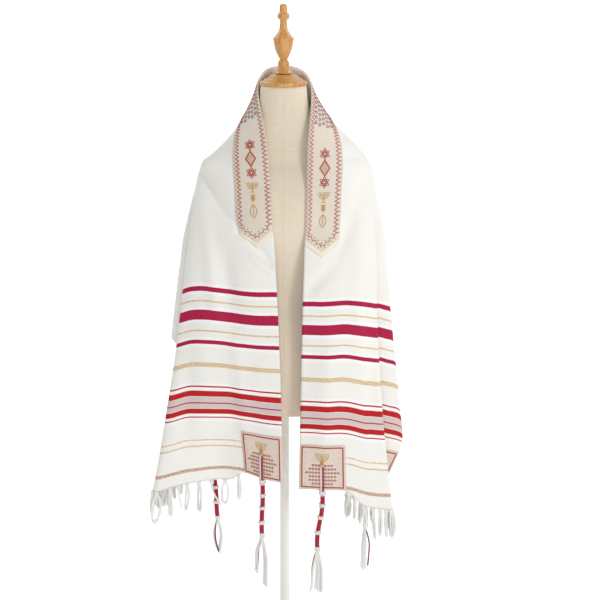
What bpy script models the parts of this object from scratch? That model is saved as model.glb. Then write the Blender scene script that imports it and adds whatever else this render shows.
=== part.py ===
"""A tallit prayer shawl draped round a limbless dress form on a plain stand.

Metres, +Z up, the wearer's front towards -Y. The origin is the centre of the
stand's underside, on the axis of its pole.

The shawl is one rectangle of cloth. A point on it has two places: "across",
from its neck edge to its outer edge, and "along", from the middle of the back
towards either fringed end. Each half has a yoke, the cloth that lies over the
shoulder, and the rest hangs from the yoke's rim. Below the shoulder's tip the
hanging cloth is a fan, gathered in folds that run down from the tip.
"""

import math
from collections import namedtuple

import bmesh
import bpy
import numpy as np
from mathutils import Vector

# Cut sizes
SHAWL_WIDTH = 0.580
SHAWL_HALF_LENGTH = 1.010
CLOTH_THICKNESS = 0.0020
COLLAR_WIDTH = 0.084
COLLAR_HALF_LENGTH = 0.450
COLLAR_POINT = 0.028
PATCH_SIZE = 0.108
TRIM_THICKNESS = 0.0012
SEAM_GAP = 0.0004
HOLE_INSET = 0.054
HOLE_SIZE = 0.009

# How much longer the cloth is between the patches than at its corners, and how soon it gains that
HEM_DROP = 0.026
HEM_TURN = 0.040

# How far the shawl is drawn towards the right, off the middle of the back
DRAWN_RIGHT = 0.012

# The shoulder's tip on the cut, and the two drops below it that the fold tables state
TIP_ACROSS = 0.165
TIP_ALONG = 0.270
MID_DROP = 0.400
LOW_DROP = 0.750
LONGEST_DROP = 0.960
SETTLED_BAND = 0.095
SETTLING_ROUNDS = 9

# How far the shoulder's tip stands out over the fan, and the drop in which the fan gains that
TIP_FLARE = 0.009
FLARE_DROP = 0.050

# How near the cloth's middle surface comes to the dress form
FORM_CLEARANCE = 0.0052

# The cloth's longest squares, over its width and over its length
STEP_ACROSS = 0.0252
STEP_ALONG = 0.0340

YokeRow = namedtuple("YokeRow", "along edge band slope rim")
Hang = namedtuple("Hang", "rim place reach x_mid y_mid x_low y_low")
Section = namedtuple("Section", "height half_width front back")

# Yoke of each half: a row for each section, with its point at the neck edge, under the
# collar band, on the shoulder's slope and at the yoke's rim. x is away from the middle.
LEFT_YOKE = [
    YokeRow(0.00, (0.000, 0.058, 1.346), (0.000, 0.069, 1.293),
            (0.000, 0.081, 1.240), (0.000, 0.094, 1.188)),
    YokeRow(0.09, (0.054, 0.015, 1.316), (0.066, 0.040, 1.274),
            (0.078, 0.064, 1.228), (0.089, 0.086, 1.181)),
    YokeRow(0.18, (0.047, -0.046, 1.244), (0.084, -0.016, 1.226),
            (0.123, 0.022, 1.190), (0.155, 0.062, 1.158)),
    YokeRow(0.27, (0.032, -0.085, 1.160), (0.083, -0.080, 1.156),
            (0.136, -0.054, 1.154), (0.188, 0.000, 1.151)),
]
RIGHT_YOKE = [
    YokeRow(0.00, (0.000, 0.058, 1.346), (0.000, 0.069, 1.293),
            (0.000, 0.081, 1.240), (0.000, 0.094, 1.188)),
    YokeRow(0.09, (0.057, 0.015, 1.316), (0.069, 0.040, 1.275),
            (0.081, 0.064, 1.229), (0.091, 0.086, 1.182)),
    YokeRow(0.18, (0.058, -0.046, 1.244), (0.094, -0.014, 1.232),
            (0.133, 0.024, 1.202), (0.164, 0.064, 1.166)),
    YokeRow(0.27, (0.052, -0.084, 1.160), (0.103, -0.078, 1.159),
            (0.155, -0.050, 1.159), (0.201, 0.000, 1.148)),
]

# What hangs from the yoke's rim: a row for each rail down the cloth, from the neck edge at the
# front round to the middle of the back. "front" rails start at that distance across, "tip" rails
# leave the shoulder's tip at that angle on the cut, and "back" rails start at that distance along.
# reach is the share of the cut's length that the rail keeps after it crumples on its way down.
LEFT_HANGS = [
    Hang("front", 0.000, 1.00, 0.010, -0.136, 0.003, -0.142),
    Hang("front", 0.055, 0.99, 0.059, -0.130, 0.049, -0.120),
    Hang("front", 0.110, 0.985, 0.108, -0.119, 0.090, -0.094),
    Hang("tip", 0.0, 1.00, 0.160, -0.114, 0.142, -0.080),
    Hang("tip", 6.0, 0.99, 0.208, -0.106, 0.226, -0.104),
    Hang("tip", 10.0, 1.00, 0.235, -0.088, 0.289, -0.112),
    Hang("tip", 14.0, 0.97, 0.228, -0.064, 0.282, -0.078),
    Hang("tip", 20.0, 0.94, 0.206, -0.062, 0.248, -0.056),
    Hang("tip", 28.0, 0.90, 0.178, -0.072, 0.150, -0.046),
    Hang("tip", 35.0, 0.90, 0.162, -0.075, 0.101, -0.064),
    Hang("tip", 42.0, 0.91, 0.174, -0.052, 0.136, -0.036),
    Hang("tip", 50.0, 0.94, 0.186, -0.040, 0.160, -0.034),
    Hang("tip", 60.0, 0.95, 0.196, -0.040, 0.200, -0.048),
    Hang("tip", 68.0, 0.96, 0.236, -0.028, 0.270, -0.020),
    Hang("tip", 74.0, 0.97, 0.253, -0.006, 0.290, 0.010),
    Hang("tip", 80.0, 0.98, 0.244, 0.016, 0.300, 0.040),
    Hang("tip", 88.0, 0.99, 0.202, 0.028, 0.220, 0.050),
    Hang("back", 0.235, 1.00, 0.188, 0.054, 0.190, 0.070),
    Hang("back", 0.175, 1.00, 0.176, 0.100, 0.190, 0.120),
    Hang("back", 0.090, 1.00, 0.094, 0.124, 0.100, 0.130),
    Hang("back", 0.000, 1.00, 0.000, 0.120, 0.000, 0.130),
]
RIGHT_HANGS = [
    Hang("front", 0.000, 0.99, 0.040, -0.132, 0.034, -0.132),
    Hang("front", 0.055, 0.99, 0.089, -0.138, 0.087, -0.140),
    Hang("front", 0.110, 1.00, 0.138, -0.134, 0.141, -0.142),
    Hang("tip", 0.0, 1.02, 0.183, -0.116, 0.194, -0.136),
    Hang("tip", 5.0, 1.02, 0.209, -0.094, 0.238, -0.122),
    Hang("tip", 9.0, 1.01, 0.200, -0.070, 0.232, -0.094),
    Hang("tip", 14.0, 0.98, 0.170, -0.064, 0.178, -0.076),
    Hang("tip", 19.0, 0.95, 0.158, -0.044, 0.142, -0.052),
    Hang("tip", 24.0, 0.93, 0.186, -0.028, 0.170, -0.028),
    Hang("tip", 30.0, 0.91, 0.226, -0.016, 0.234, -0.012),
    Hang("tip", 34.5, 0.90, 0.243, 0.004, 0.276, 0.008),
    Hang("tip", 39.0, 0.92, 0.228, 0.024, 0.264, 0.036),
    Hang("tip", 46.0, 0.94, 0.182, 0.026, 0.200, 0.040),
    Hang("tip", 53.0, 0.95, 0.164, 0.044, 0.160, 0.060),
    Hang("tip", 60.0, 0.96, 0.192, 0.060, 0.200, 0.090),
    Hang("tip", 68.0, 0.97, 0.234, 0.078, 0.270, 0.120),
    Hang("tip", 74.0, 0.98, 0.238, 0.102, 0.280, 0.150),
    Hang("tip", 82.0, 0.99, 0.196, 0.112, 0.220, 0.160),
    Hang("back", 0.250, 1.00, 0.160, 0.112, 0.160, 0.150),
    Hang("back", 0.180, 1.00, 0.132, 0.138, 0.130, 0.170),
    Hang("back", 0.090, 1.00, 0.070, 0.134, 0.070, 0.150),
    Hang("back", 0.000, 1.00, 0.000, 0.120, 0.000, 0.130),
]

# Dress form, a row for each height
FORM_SECTIONS = [
    Section(0.5730, 0.150, 0.098, 0.094),
    Section(0.6300, 0.164, 0.106, 0.106),
    Section(0.6800, 0.166, 0.106, 0.110),
    Section(0.7600, 0.149, 0.100, 0.096),
    Section(0.8400, 0.120, 0.088, 0.074),
    Section(0.9300, 0.131, 0.098, 0.076),
    Section(1.0200, 0.154, 0.114, 0.086),
    Section(1.0800, 0.171, 0.100, 0.090),
    Section(1.1100, 0.179, 0.087, 0.087),
    Section(1.1280, 0.181, 0.077, 0.082),
    Section(1.1400, 0.174, 0.069, 0.078),
    Section(1.1520, 0.155, 0.064, 0.074),
    Section(1.1680, 0.127, 0.059, 0.069),
    Section(1.1900, 0.099, 0.053, 0.063),
    Section(1.2150, 0.078, 0.050, 0.058),
    Section(1.2400, 0.064, 0.048, 0.055),
    Section(1.2700, 0.055, 0.047, 0.051),
    Section(1.3065, 0.050, 0.048, 0.049),
]
FORM_SQUARENESS = 2.25
FORM_BOTTOM_ROUND = 0.012


FORM_RINGS = 22
FORM_SIDES = 32

# Turned pieces, as (radius, height) down the outer side
CAP_PROFILE = [
    (0.0, 1.3330), (0.0120, 1.3325), (0.0250, 1.3300), (0.0330, 1.3265),
    (0.0340, 1.3240), (0.0420, 1.3215), (0.0430, 1.3190), (0.0500, 1.3165),
    (0.0515, 1.3140), (0.0515, 1.3085), (0.0500, 1.3068), (0.0, 1.3068),
]
FINIAL_PROFILE = [
    (0.0, 1.4830), (0.0050, 1.4820), (0.0082, 1.4795), (0.0086, 1.4660), (0.0110, 1.4630),
    (0.0134, 1.4575), (0.0118, 1.4510), (0.0077, 1.4470), (0.0092, 1.4290), (0.0116, 1.4240),
    (0.0170, 1.4150), (0.0224, 1.4100), (0.0226, 1.4050), (0.0219, 1.4030), (0.0208, 1.3960),
    (0.0178, 1.3830), (0.0123, 1.3710), (0.0080, 1.3625), (0.0108, 1.3615), (0.0108, 1.3590),
    (0.0123, 1.3580), (0.0123, 1.3510), (0.0130, 1.3485), (0.0160, 1.3400), (0.0190, 1.3340),
    (0.0190, 1.3333), (0.0, 1.3333),
]
POLE_PROFILE = [
    (0.0, 0.5727), (0.0350, 0.5727), (0.0350, 0.5697), (0.0150, 0.5677), (0.0110, 0.5640), (0.0110, 0.0313),
    (0.0, 0.0313),
]
BASE_PROFILE = [
    (0.0, 0.0310), (0.0170, 0.0310), (0.0190, 0.0290), (0.0200, 0.0180), (0.0240, 0.0150), (0.1400, 0.0130),
    (0.1560, 0.0110), (0.1600, 0.0070), (0.1600, 0.0020), (0.1585, 0.0), (0.0, 0.0),
]

# Fringe and corner tassels
FRINGE_STRANDS = 22
FRINGE_STRAND_WIDTH = 0.0048
FRINGE_GAP = 0.0012
FRINGE_STRIP = 0.0050
FRINGE_LENGTH = 0.062
FRINGE_SWAY = 0.004
TASSEL_CORD = 0.0016
TASSEL_KNOT_DROP = 0.010
TASSEL_STRANDS = 6
TASSEL_STRAND_LENGTH = 0.088
TASSEL_STEM = [
    (-0.006, 0.0034), (-0.003, 0.0064), (0.003, 0.0066), (0.006, 0.0046), (0.028, 0.0046),
    (0.031, 0.0062), (0.036, 0.0062), (0.039, 0.0045), (0.060, 0.0045), (0.063, 0.0060),
    (0.068, 0.0060), (0.071, 0.0044), (0.092, 0.0044), (0.095, 0.0060), (0.101, 0.0060),
    (0.105, 0.0044),
]


def clean_scene():
    """Remove every object of the scene that the script is run in."""
    for thing in list(bpy.data.objects):
        bpy.data.objects.remove(thing)


def smooth_table(keys, values, at):
    """Values at places between a table's rows, on smooth curves through the rows."""
    keys = np.asarray(keys, float)
    values = np.asarray(values, float)
    at = np.clip(np.asarray(at, float), keys[0], keys[-1])
    slopes = np.gradient(values, keys, axis=0)
    row = np.clip(np.searchsorted(keys, at, side="right") - 1, 0, len(keys) - 2)
    step = keys[row + 1] - keys[row]
    t = (at - keys[row]) / step
    if values.ndim > 1:
        t, step = t[..., None], step[..., None]
    return hermite(values[row], values[row + 1], slopes[row] * step, slopes[row + 1] * step, t)


def hermite(start, end, leave, arrive, t):
    """Cubic between two points, with its tangents at both."""
    return (
        (2 * t**3 - 3 * t**2 + 1) * start
        + (t**3 - 2 * t**2 + t) * leave
        + (3 * t**2 - 2 * t**3) * end
        + (t**3 - t**2) * arrive
    )


def form_section(height):
    """Half width, front depth and back depth of the dress form at a height."""
    table = np.array([row[1:] for row in FORM_SECTIONS])
    return smooth_table([row.height for row in FORM_SECTIONS], table, height)


def form_level(points):
    """How far points are outside the dress form's section, as a share of that section."""
    sizes = form_section(points[:, 2])
    depth = np.where(points[:, 1] < 0, sizes[:, 1], sizes[:, 2])
    power = FORM_SQUARENESS
    share = (np.abs(points[:, 0]) / sizes[:, 0]) ** power + (np.abs(points[:, 1]) / depth) ** power
    return share ** (1 / power) - 1


def clear_of_form(points, clearance):
    """Points moved out to a clearance from the dress form where they are nearer than that."""
    points = np.array(points, float)
    probe = 0.0005
    for _ in range(6):
        level = form_level(points)
        steps = probe * np.eye(3)
        changes = [form_level(points + step) - form_level(points - step) for step in steps]
        slope = np.stack(changes, axis=1) / (2 * probe)
        size = np.maximum(np.linalg.norm(slope, axis=1), 1e-6)
        short = clearance - level / size
        beside = (points[:, 2] > FORM_SECTIONS[0].height) & (points[:, 2] < FORM_SECTIONS[-1].height)
        move = np.where(beside, np.maximum(short, 0), 0)
        points += slope / size[:, None] * move[:, None]
    return points


def lagrange(places, at):
    """Weights of the points at the given places, for the one curve that runs through them all."""
    weights = []
    for i, own in enumerate(places):
        others = [place for j, place in enumerate(places) if j != i]
        weights.append(math.prod((at - other) / (own - other) for other in others))
    return weights


class Half:
    """One half of the shawl: its points from places across and along the cut."""

    def __init__(self, side, yoke, hangs):
        self.sign = side
        self.yoke = yoke
        self.hangs = hangs
        self.drops = np.linspace(0, LONGEST_DROP, 97)
        self.rails = np.array([self.rail(hang) for hang in hangs])
        self.reaches = np.array([self.lateral(hang) for hang in hangs])

    def yoke_point(self, across, along):
        """A point of the yoke, on the smooth surface through its table."""
        rows = lagrange([row.along for row in self.yoke], along)
        columns = lagrange([TIP_ACROSS * i / 3 for i in range(4)], across)
        net = np.array([row[1:] for row in self.yoke])
        return np.einsum("r,c,rcx->x", rows, columns, net)

    def rail(self, hang):
        """A rail's points at every drop, as long as the cut makes it."""
        start = {
            "front": self.yoke_point(hang.place, TIP_ALONG),
            "tip": self.yoke_point(TIP_ACROSS, TIP_ALONG),
            "back": self.yoke_point(TIP_ACROSS, hang.place),
        }[hang.rim]
        knots = [0, MID_DROP, LOW_DROP]
        flare = np.array([TIP_FLARE if hang.rim == "tip" else 0, 0])
        plan = np.array([start[:2] + flare, (hang.x_mid, hang.y_mid), (hang.x_low, hang.y_low)])
        path = np.array([np.dot(lagrange(knots, drop), plan) for drop in self.drops])
        path -= flare * np.exp(-self.drops / FLARE_DROP)[:, None]
        step = self.drops[1]
        aside = np.linalg.norm(np.diff(path, axis=0), axis=1)
        fall = np.sqrt(np.maximum((hang.reach * step) ** 2 - aside**2, (0.3 * step) ** 2))
        height = start[2] - np.concatenate([[0], np.cumsum(fall)])
        return np.column_stack([path, height])

    def lateral(self, hang):
        """A rail's distance round the yoke's rim from the shoulder's tip, at every drop."""
        if hang.rim == "front":
            return np.full_like(self.drops, hang.place - TIP_ACROSS)
        if hang.rim == "tip":
            return self.drops * math.radians(hang.place)
        return self.drops * math.pi / 2 + TIP_ALONG - hang.place

    def hanging_points(self, across, along):
        """Points below the yoke's rim, between the rails on either side of them."""
        past_across = np.maximum(across - TIP_ACROSS, 0)
        past_along = np.maximum(along - TIP_ALONG, 0)
        drop = np.hypot(past_across, past_along)
        angle = np.arctan2(past_across, past_along)
        round_rim = np.minimum(across - TIP_ACROSS, 0) + drop * angle + np.maximum(TIP_ALONG - along, 0)
        at = np.clip(drop / self.drops[1], 0, len(self.drops) - 1.001)
        low = at.astype(int)
        part = at - low
        places = self.reaches[:, low] * (1 - part) + self.reaches[:, low + 1] * part
        rails = self.rails[:, low] * (1 - part)[:, None] + self.rails[:, low + 1] * part[:, None]
        count = len(self.hangs)
        before = [max(i - 1, 0) for i in range(count)]
        after = [min(i + 1, count - 1) for i in range(count)]
        gaps = np.maximum(places[after] - places[before], 1e-6)
        tangents = (rails[after] - rails[before]) / gaps[..., None]
        found = np.zeros((len(across), 3))
        for i in range(count - 1):
            here = (round_rim >= places[i] - 1e-9) if i else np.ones(len(across), bool)
            step = np.maximum(places[i + 1] - places[i], 1e-6)
            t = np.clip((round_rim - places[i]) / step, 0, 1)[:, None]
            leave, arrive = tangents[i] * step[:, None], tangents[i + 1] * step[:, None]
            between = hermite(rails[i], rails[i + 1], leave, arrive, t)
            found[here] = between[here]
        return found

    def points(self, across, along):
        """Points of the cloth's middle surface, in the object's own place."""
        across, along = np.asarray(across, float), np.asarray(along, float)
        found = self.hanging_points(across, along)
        on_yoke = (across < TIP_ACROSS) & (along < TIP_ALONG)
        for i in np.flatnonzero(on_yoke):
            found[i] = self.yoke_point(across[i], along[i])
        found[:, 0] *= self.sign
        return found


HALVES = {-1: Half(-1, LEFT_YOKE, LEFT_HANGS), 1: Half(1, RIGHT_YOKE, RIGHT_HANGS)}


def hem_drop(across, along):
    """How much further along the cut a place is because the hem hangs lower between the patches."""
    inner = np.minimum(across, SHAWL_WIDTH - across) - PATCH_SIZE
    gained = np.clip(inner / HEM_TURN, 0, 1)
    part = np.clip((np.abs(along) - SHAWL_HALF_LENGTH) / PATCH_SIZE + 1, 0, 1)
    return HEM_DROP * gained**2 * (3 - 2 * gained) * part * np.sign(along)


def spread(marks, longest):
    """Even steps between marks, none longer than the given length."""
    lines = [marks[0]]
    for start, end in zip(marks, marks[1:]):
        count = math.ceil((end - start) / longest - 1e-6)
        lines.extend(start + (end - start) * i / count for i in range(1, count + 1))
    return np.array(lines)


def grid_lines():
    """The cloth's grid lines, which run along the trims' edges and round the corners' holes."""
    hole = [HOLE_INSET - HOLE_SIZE / 2, HOLE_INSET + HOLE_SIZE / 2]
    near = [0, hole[0], hole[1], COLLAR_WIDTH, PATCH_SIZE, TIP_ACROSS]
    far = [SHAWL_WIDTH - mark for mark in (PATCH_SIZE, hole[1], hole[0], 0)]
    ends = [SHAWL_HALF_LENGTH - mark for mark in (PATCH_SIZE, hole[1], hole[0], 0)]
    left = [TIP_ALONG + DRAWN_RIGHT, COLLAR_HALF_LENGTH] + ends
    right = [TIP_ALONG - DRAWN_RIGHT, COLLAR_HALF_LENGTH] + ends
    marks = [-mark for mark in reversed(left)] + [-DRAWN_RIGHT] + right
    return spread(near + far, STEP_ACROSS), spread(marks, STEP_ALONG)


class Cloth:
    """The cloth's middle surface as a grid, and points and normals anywhere on it."""

    def __init__(self):
        self.across, self.along = grid_lines()
        self.net = self.settled_net()
        self.normals = self.net_normals()

    def settled_net(self):
        """The grid's points, eased over the yoke's rim and kept clear of the dress form."""
        along, across = np.meshgrid(self.along, self.across, indexing="ij")
        drawn = along + hem_drop(across, along) + DRAWN_RIGHT
        net = np.zeros(along.shape + (3,))
        for side, half in HALVES.items():
            own = drawn * side >= 0
            net[own] = half.points(across[own], np.abs(drawn[own]))
        along = np.abs(drawn)
        past = np.hypot(np.maximum(across - TIP_ACROSS, 0), np.maximum(along - TIP_ALONG, 0))
        short = np.minimum(TIP_ACROSS - across, TIP_ALONG - along)
        near = np.maximum(past, short)[..., None] / SETTLED_BAND
        ease = 0.5 * np.exp(-(near**2))
        for _ in range(SETTLING_ROUNDS):
            mean = net.copy()
            mean[1:-1, 1:-1] = (net[2:, 1:-1] + net[:-2, 1:-1] + net[1:-1, 2:] + net[1:-1, :-2]) / 4
            mean[1:-1, 0] = (net[2:, 0] + net[:-2, 0]) / 2
            mean[1:-1, -1] = (net[2:, -1] + net[:-2, -1]) / 2
            net = net + (mean - net) * ease
        return clear_of_form(net.reshape(-1, 3), FORM_CLEARANCE).reshape(net.shape)

    def net_normals(self):
        """Unit normals of the grid's points, away from the wearer."""
        net = self.net
        square = np.cross(net[1:, 1:] - net[:-1, :-1], net[:-1, 1:] - net[1:, :-1])
        square /= np.maximum(np.linalg.norm(square, axis=2, keepdims=True), 1e-12)
        total = np.zeros_like(net)
        for rows in (slice(0, -1), slice(1, None)):
            for columns in (slice(0, -1), slice(1, None)):
                total[rows, columns] += square
        return total / np.linalg.norm(total, axis=2, keepdims=True)

    @staticmethod
    def square(lines, place):
        """Index of the grid square that a place falls in."""
        return int(np.clip(np.searchsorted(lines, place, side="right") - 1, 0, len(lines) - 2))

    def at(self, across, along, lift=0.0):
        """A point of the cloth at a place of the cut, lifted off it along its normal."""
        column = self.square(self.across, across)
        row = self.square(self.along, along)
        s = (across - self.across[column]) / (self.across[column + 1] - self.across[column])
        t = (along - self.along[row]) / (self.along[row + 1] - self.along[row])
        found = []
        for field in (self.net, self.normals):
            start, far = field[row, column], field[row + 1, column + 1]
            turn = field[row, column + 1] if s >= t else field[row + 1, column]
            first, second = (s, t) if s >= t else (t, s)
            found.append(start + first * (turn - start) + second * (far - turn))
        return Vector(found[0]) + Vector(found[1]).normalized() * lift


def new_object(name, mesh, material, collection):
    """Link a mesh to the scene as an object with one material."""
    thing = bpy.data.objects.new(name, mesh)
    mesh.materials.clear()
    mesh.materials.append(material)
    collection.objects.link(thing)
    return thing


def principled(name, colour, roughness, sheen=0.0):
    """A plain Principled material."""
    material = bpy.data.materials.new(name)
    material.use_nodes = True
    shader = material.node_tree.nodes["Principled BSDF"]
    shader.inputs["Base Color"].default_value = (*colour, 1)
    shader.inputs["Roughness"].default_value = roughness
    shader.inputs["Sheen Weight"].default_value = sheen
    material.diffuse_color = (*colour, 1)
    return material


def set_smooth(mesh):
    """Smooth shading on every face of a mesh."""
    for face in mesh.polygons:
        face.use_smooth = True


def sheet(name, rows, skip, thickness, material, collection):
    """A cloth piece: an open grid of points, less the squares in skip, given its thickness."""
    mesh = bpy.data.meshes.new(name)
    bm = bmesh.new()
    grid = [[bm.verts.new(point) for point in row] for row in rows]
    for j in range(len(grid) - 1):
        for i in range(len(grid[0]) - 1):
            if (j, i) in skip:
                continue
            low, high = grid[j], grid[j + 1]
            bm.faces.new((low[i], high[i + 1], low[i + 1]))
            bm.faces.new((low[i], high[i], high[i + 1]))
    bm.to_mesh(mesh)
    bm.free()
    set_smooth(mesh)
    thing = new_object(name, mesh, material, collection)
    solid = thing.modifiers.new("Thickness", "SOLIDIFY")
    solid.thickness = thickness
    solid.offset = 0
    return thing


def hole_squares(across, along):
    """Index of each grid square that is the hole for a corner's tassel."""
    columns = [i for i, u in enumerate(across[:-1]) if is_hole_mark(u, SHAWL_WIDTH)]
    half = SHAWL_HALF_LENGTH
    rows = [j for j, v in enumerate(along[:-1]) if is_hole_mark(v + half, 2 * half)]
    return {(j, i) for j in rows for i in columns}


def is_hole_mark(place, whole):
    """Whether a grid line is the first of the two on either side of a hole."""
    middle = place + HOLE_SIZE / 2
    return min(abs(middle - HOLE_INSET), abs(whole - middle - HOLE_INSET)) < 1e-6


def build_shawl(cloth, material, collection):
    """The main cloth."""
    skip = hole_squares(cloth.across, cloth.along)
    rows = [[Vector(point) for point in row] for row in cloth.net]
    return sheet("shawl", rows, skip, CLOTH_THICKNESS, material, collection)


def trim_lift():
    """How far a trim's middle surface lies off the cloth's."""
    return CLOTH_THICKNESS / 2 + SEAM_GAP + TRIM_THICKNESS / 2


def build_collar(cloth, material, collection):
    """The band along the neck edge, with a pointed end on either front."""
    across = [u for u in cloth.across if u <= COLLAR_WIDTH + 1e-6]
    along = [v for v in cloth.along if abs(v) <= COLLAR_HALF_LENGTH + 1e-6]
    along = [along[0] - COLLAR_POINT] + along + [along[-1] + COLLAR_POINT]
    rows = []
    for v in along:
        row = []
        for u in across:
            point = COLLAR_POINT * (1 - abs(2 * u / COLLAR_WIDTH - 1)) + 0.001
            place = max(min(v, COLLAR_HALF_LENGTH + point), -COLLAR_HALF_LENGTH - point)
            row.append(cloth.at(u, place, trim_lift()))
        rows.append(row)
    return sheet("collar", rows, set(), TRIM_THICKNESS, material, collection)


def build_patches(cloth, material, collection):
    """A square patch on each corner, with a hole for the tassel."""
    patches = []
    ends = {"left": cloth.along < -SHAWL_HALF_LENGTH + PATCH_SIZE + 1e-6}
    ends["right"] = cloth.along > SHAWL_HALF_LENGTH - PATCH_SIZE - 1e-6
    edges = {"inner": cloth.across < PATCH_SIZE + 1e-6}
    edges["outer"] = cloth.across > SHAWL_WIDTH - PATCH_SIZE - 1e-6
    for end, rows_here in ends.items():
        for edge, columns_here in edges.items():
            across, along = cloth.across[columns_here], cloth.along[rows_here]
            rows = [[cloth.at(u, v, trim_lift()) for u in across] for v in along]
            skip = hole_squares(across, along)
            name = f"patch_{end}_{edge}"
            patches.append(sheet(name, rows, skip, TRIM_THICKNESS, material, collection))
    return patches


def build_form(material, collection):
    """The dress form: rings of its sections, with a softened bottom edge."""
    bottom = FORM_SECTIONS[0].height
    top = FORM_SECTIONS[-1].height
    heights = list(np.linspace(bottom + FORM_BOTTOM_ROUND, top, FORM_RINGS))
    rings = [form_ring(height, height, 0) for height in heights]
    for turn in (0.35, 0.7, 1.0):
        drop = FORM_BOTTOM_ROUND * math.sin(turn * math.pi / 2)
        inset = FORM_BOTTOM_ROUND * (1 - math.cos(turn * math.pi / 2))
        rings.insert(0, form_ring(heights[0], bottom + FORM_BOTTOM_ROUND - drop, inset))
    bm = bmesh.new()
    loops = [[bm.verts.new(point) for point in ring] for ring in rings]
    for low, high in zip(loops, loops[1:]):
        for i, vertex in enumerate(low):
            after = (i + 1) % len(low)
            bm.faces.new((vertex, low[after], high[after], high[i]))
    bm.faces.new(reversed(loops[0]))
    bm.faces.new(loops[-1])
    mesh = bpy.data.meshes.new("torso")
    bm.to_mesh(mesh)
    bm.free()
    set_smooth(mesh)
    mesh.polygons[-1].use_smooth = False
    mesh.polygons[-2].use_smooth = False
    return new_object("torso", mesh, material, collection)


def form_ring(section_height, height, inset):
    """Points round the dress form at a height."""
    half_width, front, back = form_section(np.array(section_height))
    points = []
    for i in range(FORM_SIDES):
        angle = 2 * math.pi * i / FORM_SIDES
        cosine, sine = math.cos(angle), math.sin(angle)
        x = math.copysign(abs(cosine) ** (2 / FORM_SQUARENESS), cosine) * (half_width - inset)
        depth = (back if sine > 0 else front) - inset
        y = math.copysign(abs(sine) ** (2 / FORM_SQUARENESS), sine) * depth
        points.append((x, y, height))
    return points


def turned(name, profile, sides, material, collection):
    """A turned piece: a profile of (radius, height), top to bottom, spun round the pole's axis."""
    mesh = bpy.data.meshes.new(name)
    bm = bmesh.new()
    line = [bm.verts.new((radius, 0, height)) for radius, height in profile]
    for start, end in zip(line, line[1:]):
        bm.edges.new((start, end))
    bm.to_mesh(mesh)
    bm.free()
    thing = new_object(name, mesh, material, collection)
    spin = thing.modifiers.new("Spin", "SCREW")
    spin.steps = sides
    spin.render_steps = sides
    spin.use_merge_vertices = True
    spin.merge_threshold = 0.0001
    spin.use_smooth_shade = True
    return thing


def hem_point(cloth, across, side, lift, drop):
    """A point below a short end's hem: lifted off the cloth's plane and let down from its edge."""
    end = side * SHAWL_HALF_LENGTH
    edge = cloth.at(across, end, lift)
    inner = cloth.at(across, end - side * 0.02, lift)
    return edge + (edge - inner).normalized() * drop


def build_fringe(cloth, name, side, material, collection):
    """A row of strands on a narrow strip that runs along a short end, between its patches."""
    strand_count = FRINGE_STRANDS
    marks = []
    pitch = (SHAWL_WIDTH - 2 * PATCH_SIZE) / strand_count
    for i in range(strand_count):
        start = PATCH_SIZE + (i + 0.5) * pitch
        marks.extend((start - FRINGE_STRAND_WIDTH / 2, start + FRINGE_STRAND_WIDTH / 2))
    grid = [u for u in cloth.across if PATCH_SIZE - 1e-6 <= u <= SHAWL_WIDTH - PATCH_SIZE + 1e-6]
    clear = [u for u in grid if not any(near_strand(u, mark) for mark in marks[::2])]
    places = sorted(marks + clear)
    half = CLOTH_THICKNESS / 2
    bm = bmesh.new()
    rails = []
    corners = ((FRINGE_GAP, -half), (FRINGE_GAP, half), (FRINGE_STRIP, half), (FRINGE_STRIP, -half))
    for drop, lift in corners:
        rails.append([bm.verts.new(hem_point(cloth, u, side, lift, drop)) for u in places])
    starts = []
    for i in range(len(places) - 1):
        for k in range(4):
            after = (k + 1) % 4
            face = bm.faces.new((rails[k][i], rails[k][i + 1], rails[after][i + 1], rails[after][i]))
            if k == 2 and places[i] in marks[::2]:
                starts.append(face)
    bm.faces.new([rail[0] for rail in rails])
    bm.faces.new([rail[-1] for rail in reversed(rails)])
    bmesh.ops.recalc_face_normals(bm, faces=bm.faces)
    for number, face in enumerate(starts):
        grow_strand(bm, face, number + (0 if side < 0 else 40))
    mesh = bpy.data.meshes.new(name)
    bm.to_mesh(mesh)
    bm.free()
    return new_object(name, mesh, material, collection)


def near_strand(across, mark):
    """Whether a place across is on a strand that starts at the mark, or all but touches it."""
    return mark - 0.0015 < across < mark + FRINGE_STRAND_WIDTH + 0.0015


def grow_strand(bm, face, number):
    """Let one strand down from its face on the strip's underside, in three lengths."""
    length = FRINGE_LENGTH * (1 + 0.07 * math.sin(number * 2.3))
    sway = Vector((0.5 * math.sin(number * 1.7), 0.35 * math.sin(number * 2.9 + 1), 0)) * FRINGE_SWAY
    for share, size in ((0.3, 0.92), (0.4, 0.9), (0.3, 0.55)):
        face = bmesh.ops.extrude_discrete_faces(bm, faces=[face])["faces"][0]
        middle = face.calc_center_median()
        level = Vector((middle.x, middle.y, middle.z - length * share)) + sway * share
        for vertex in face.verts:
            aside = (vertex.co - middle) * size
            vertex.co = level + Vector((aside.x, aside.y, aside.z * 0.3))


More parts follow.
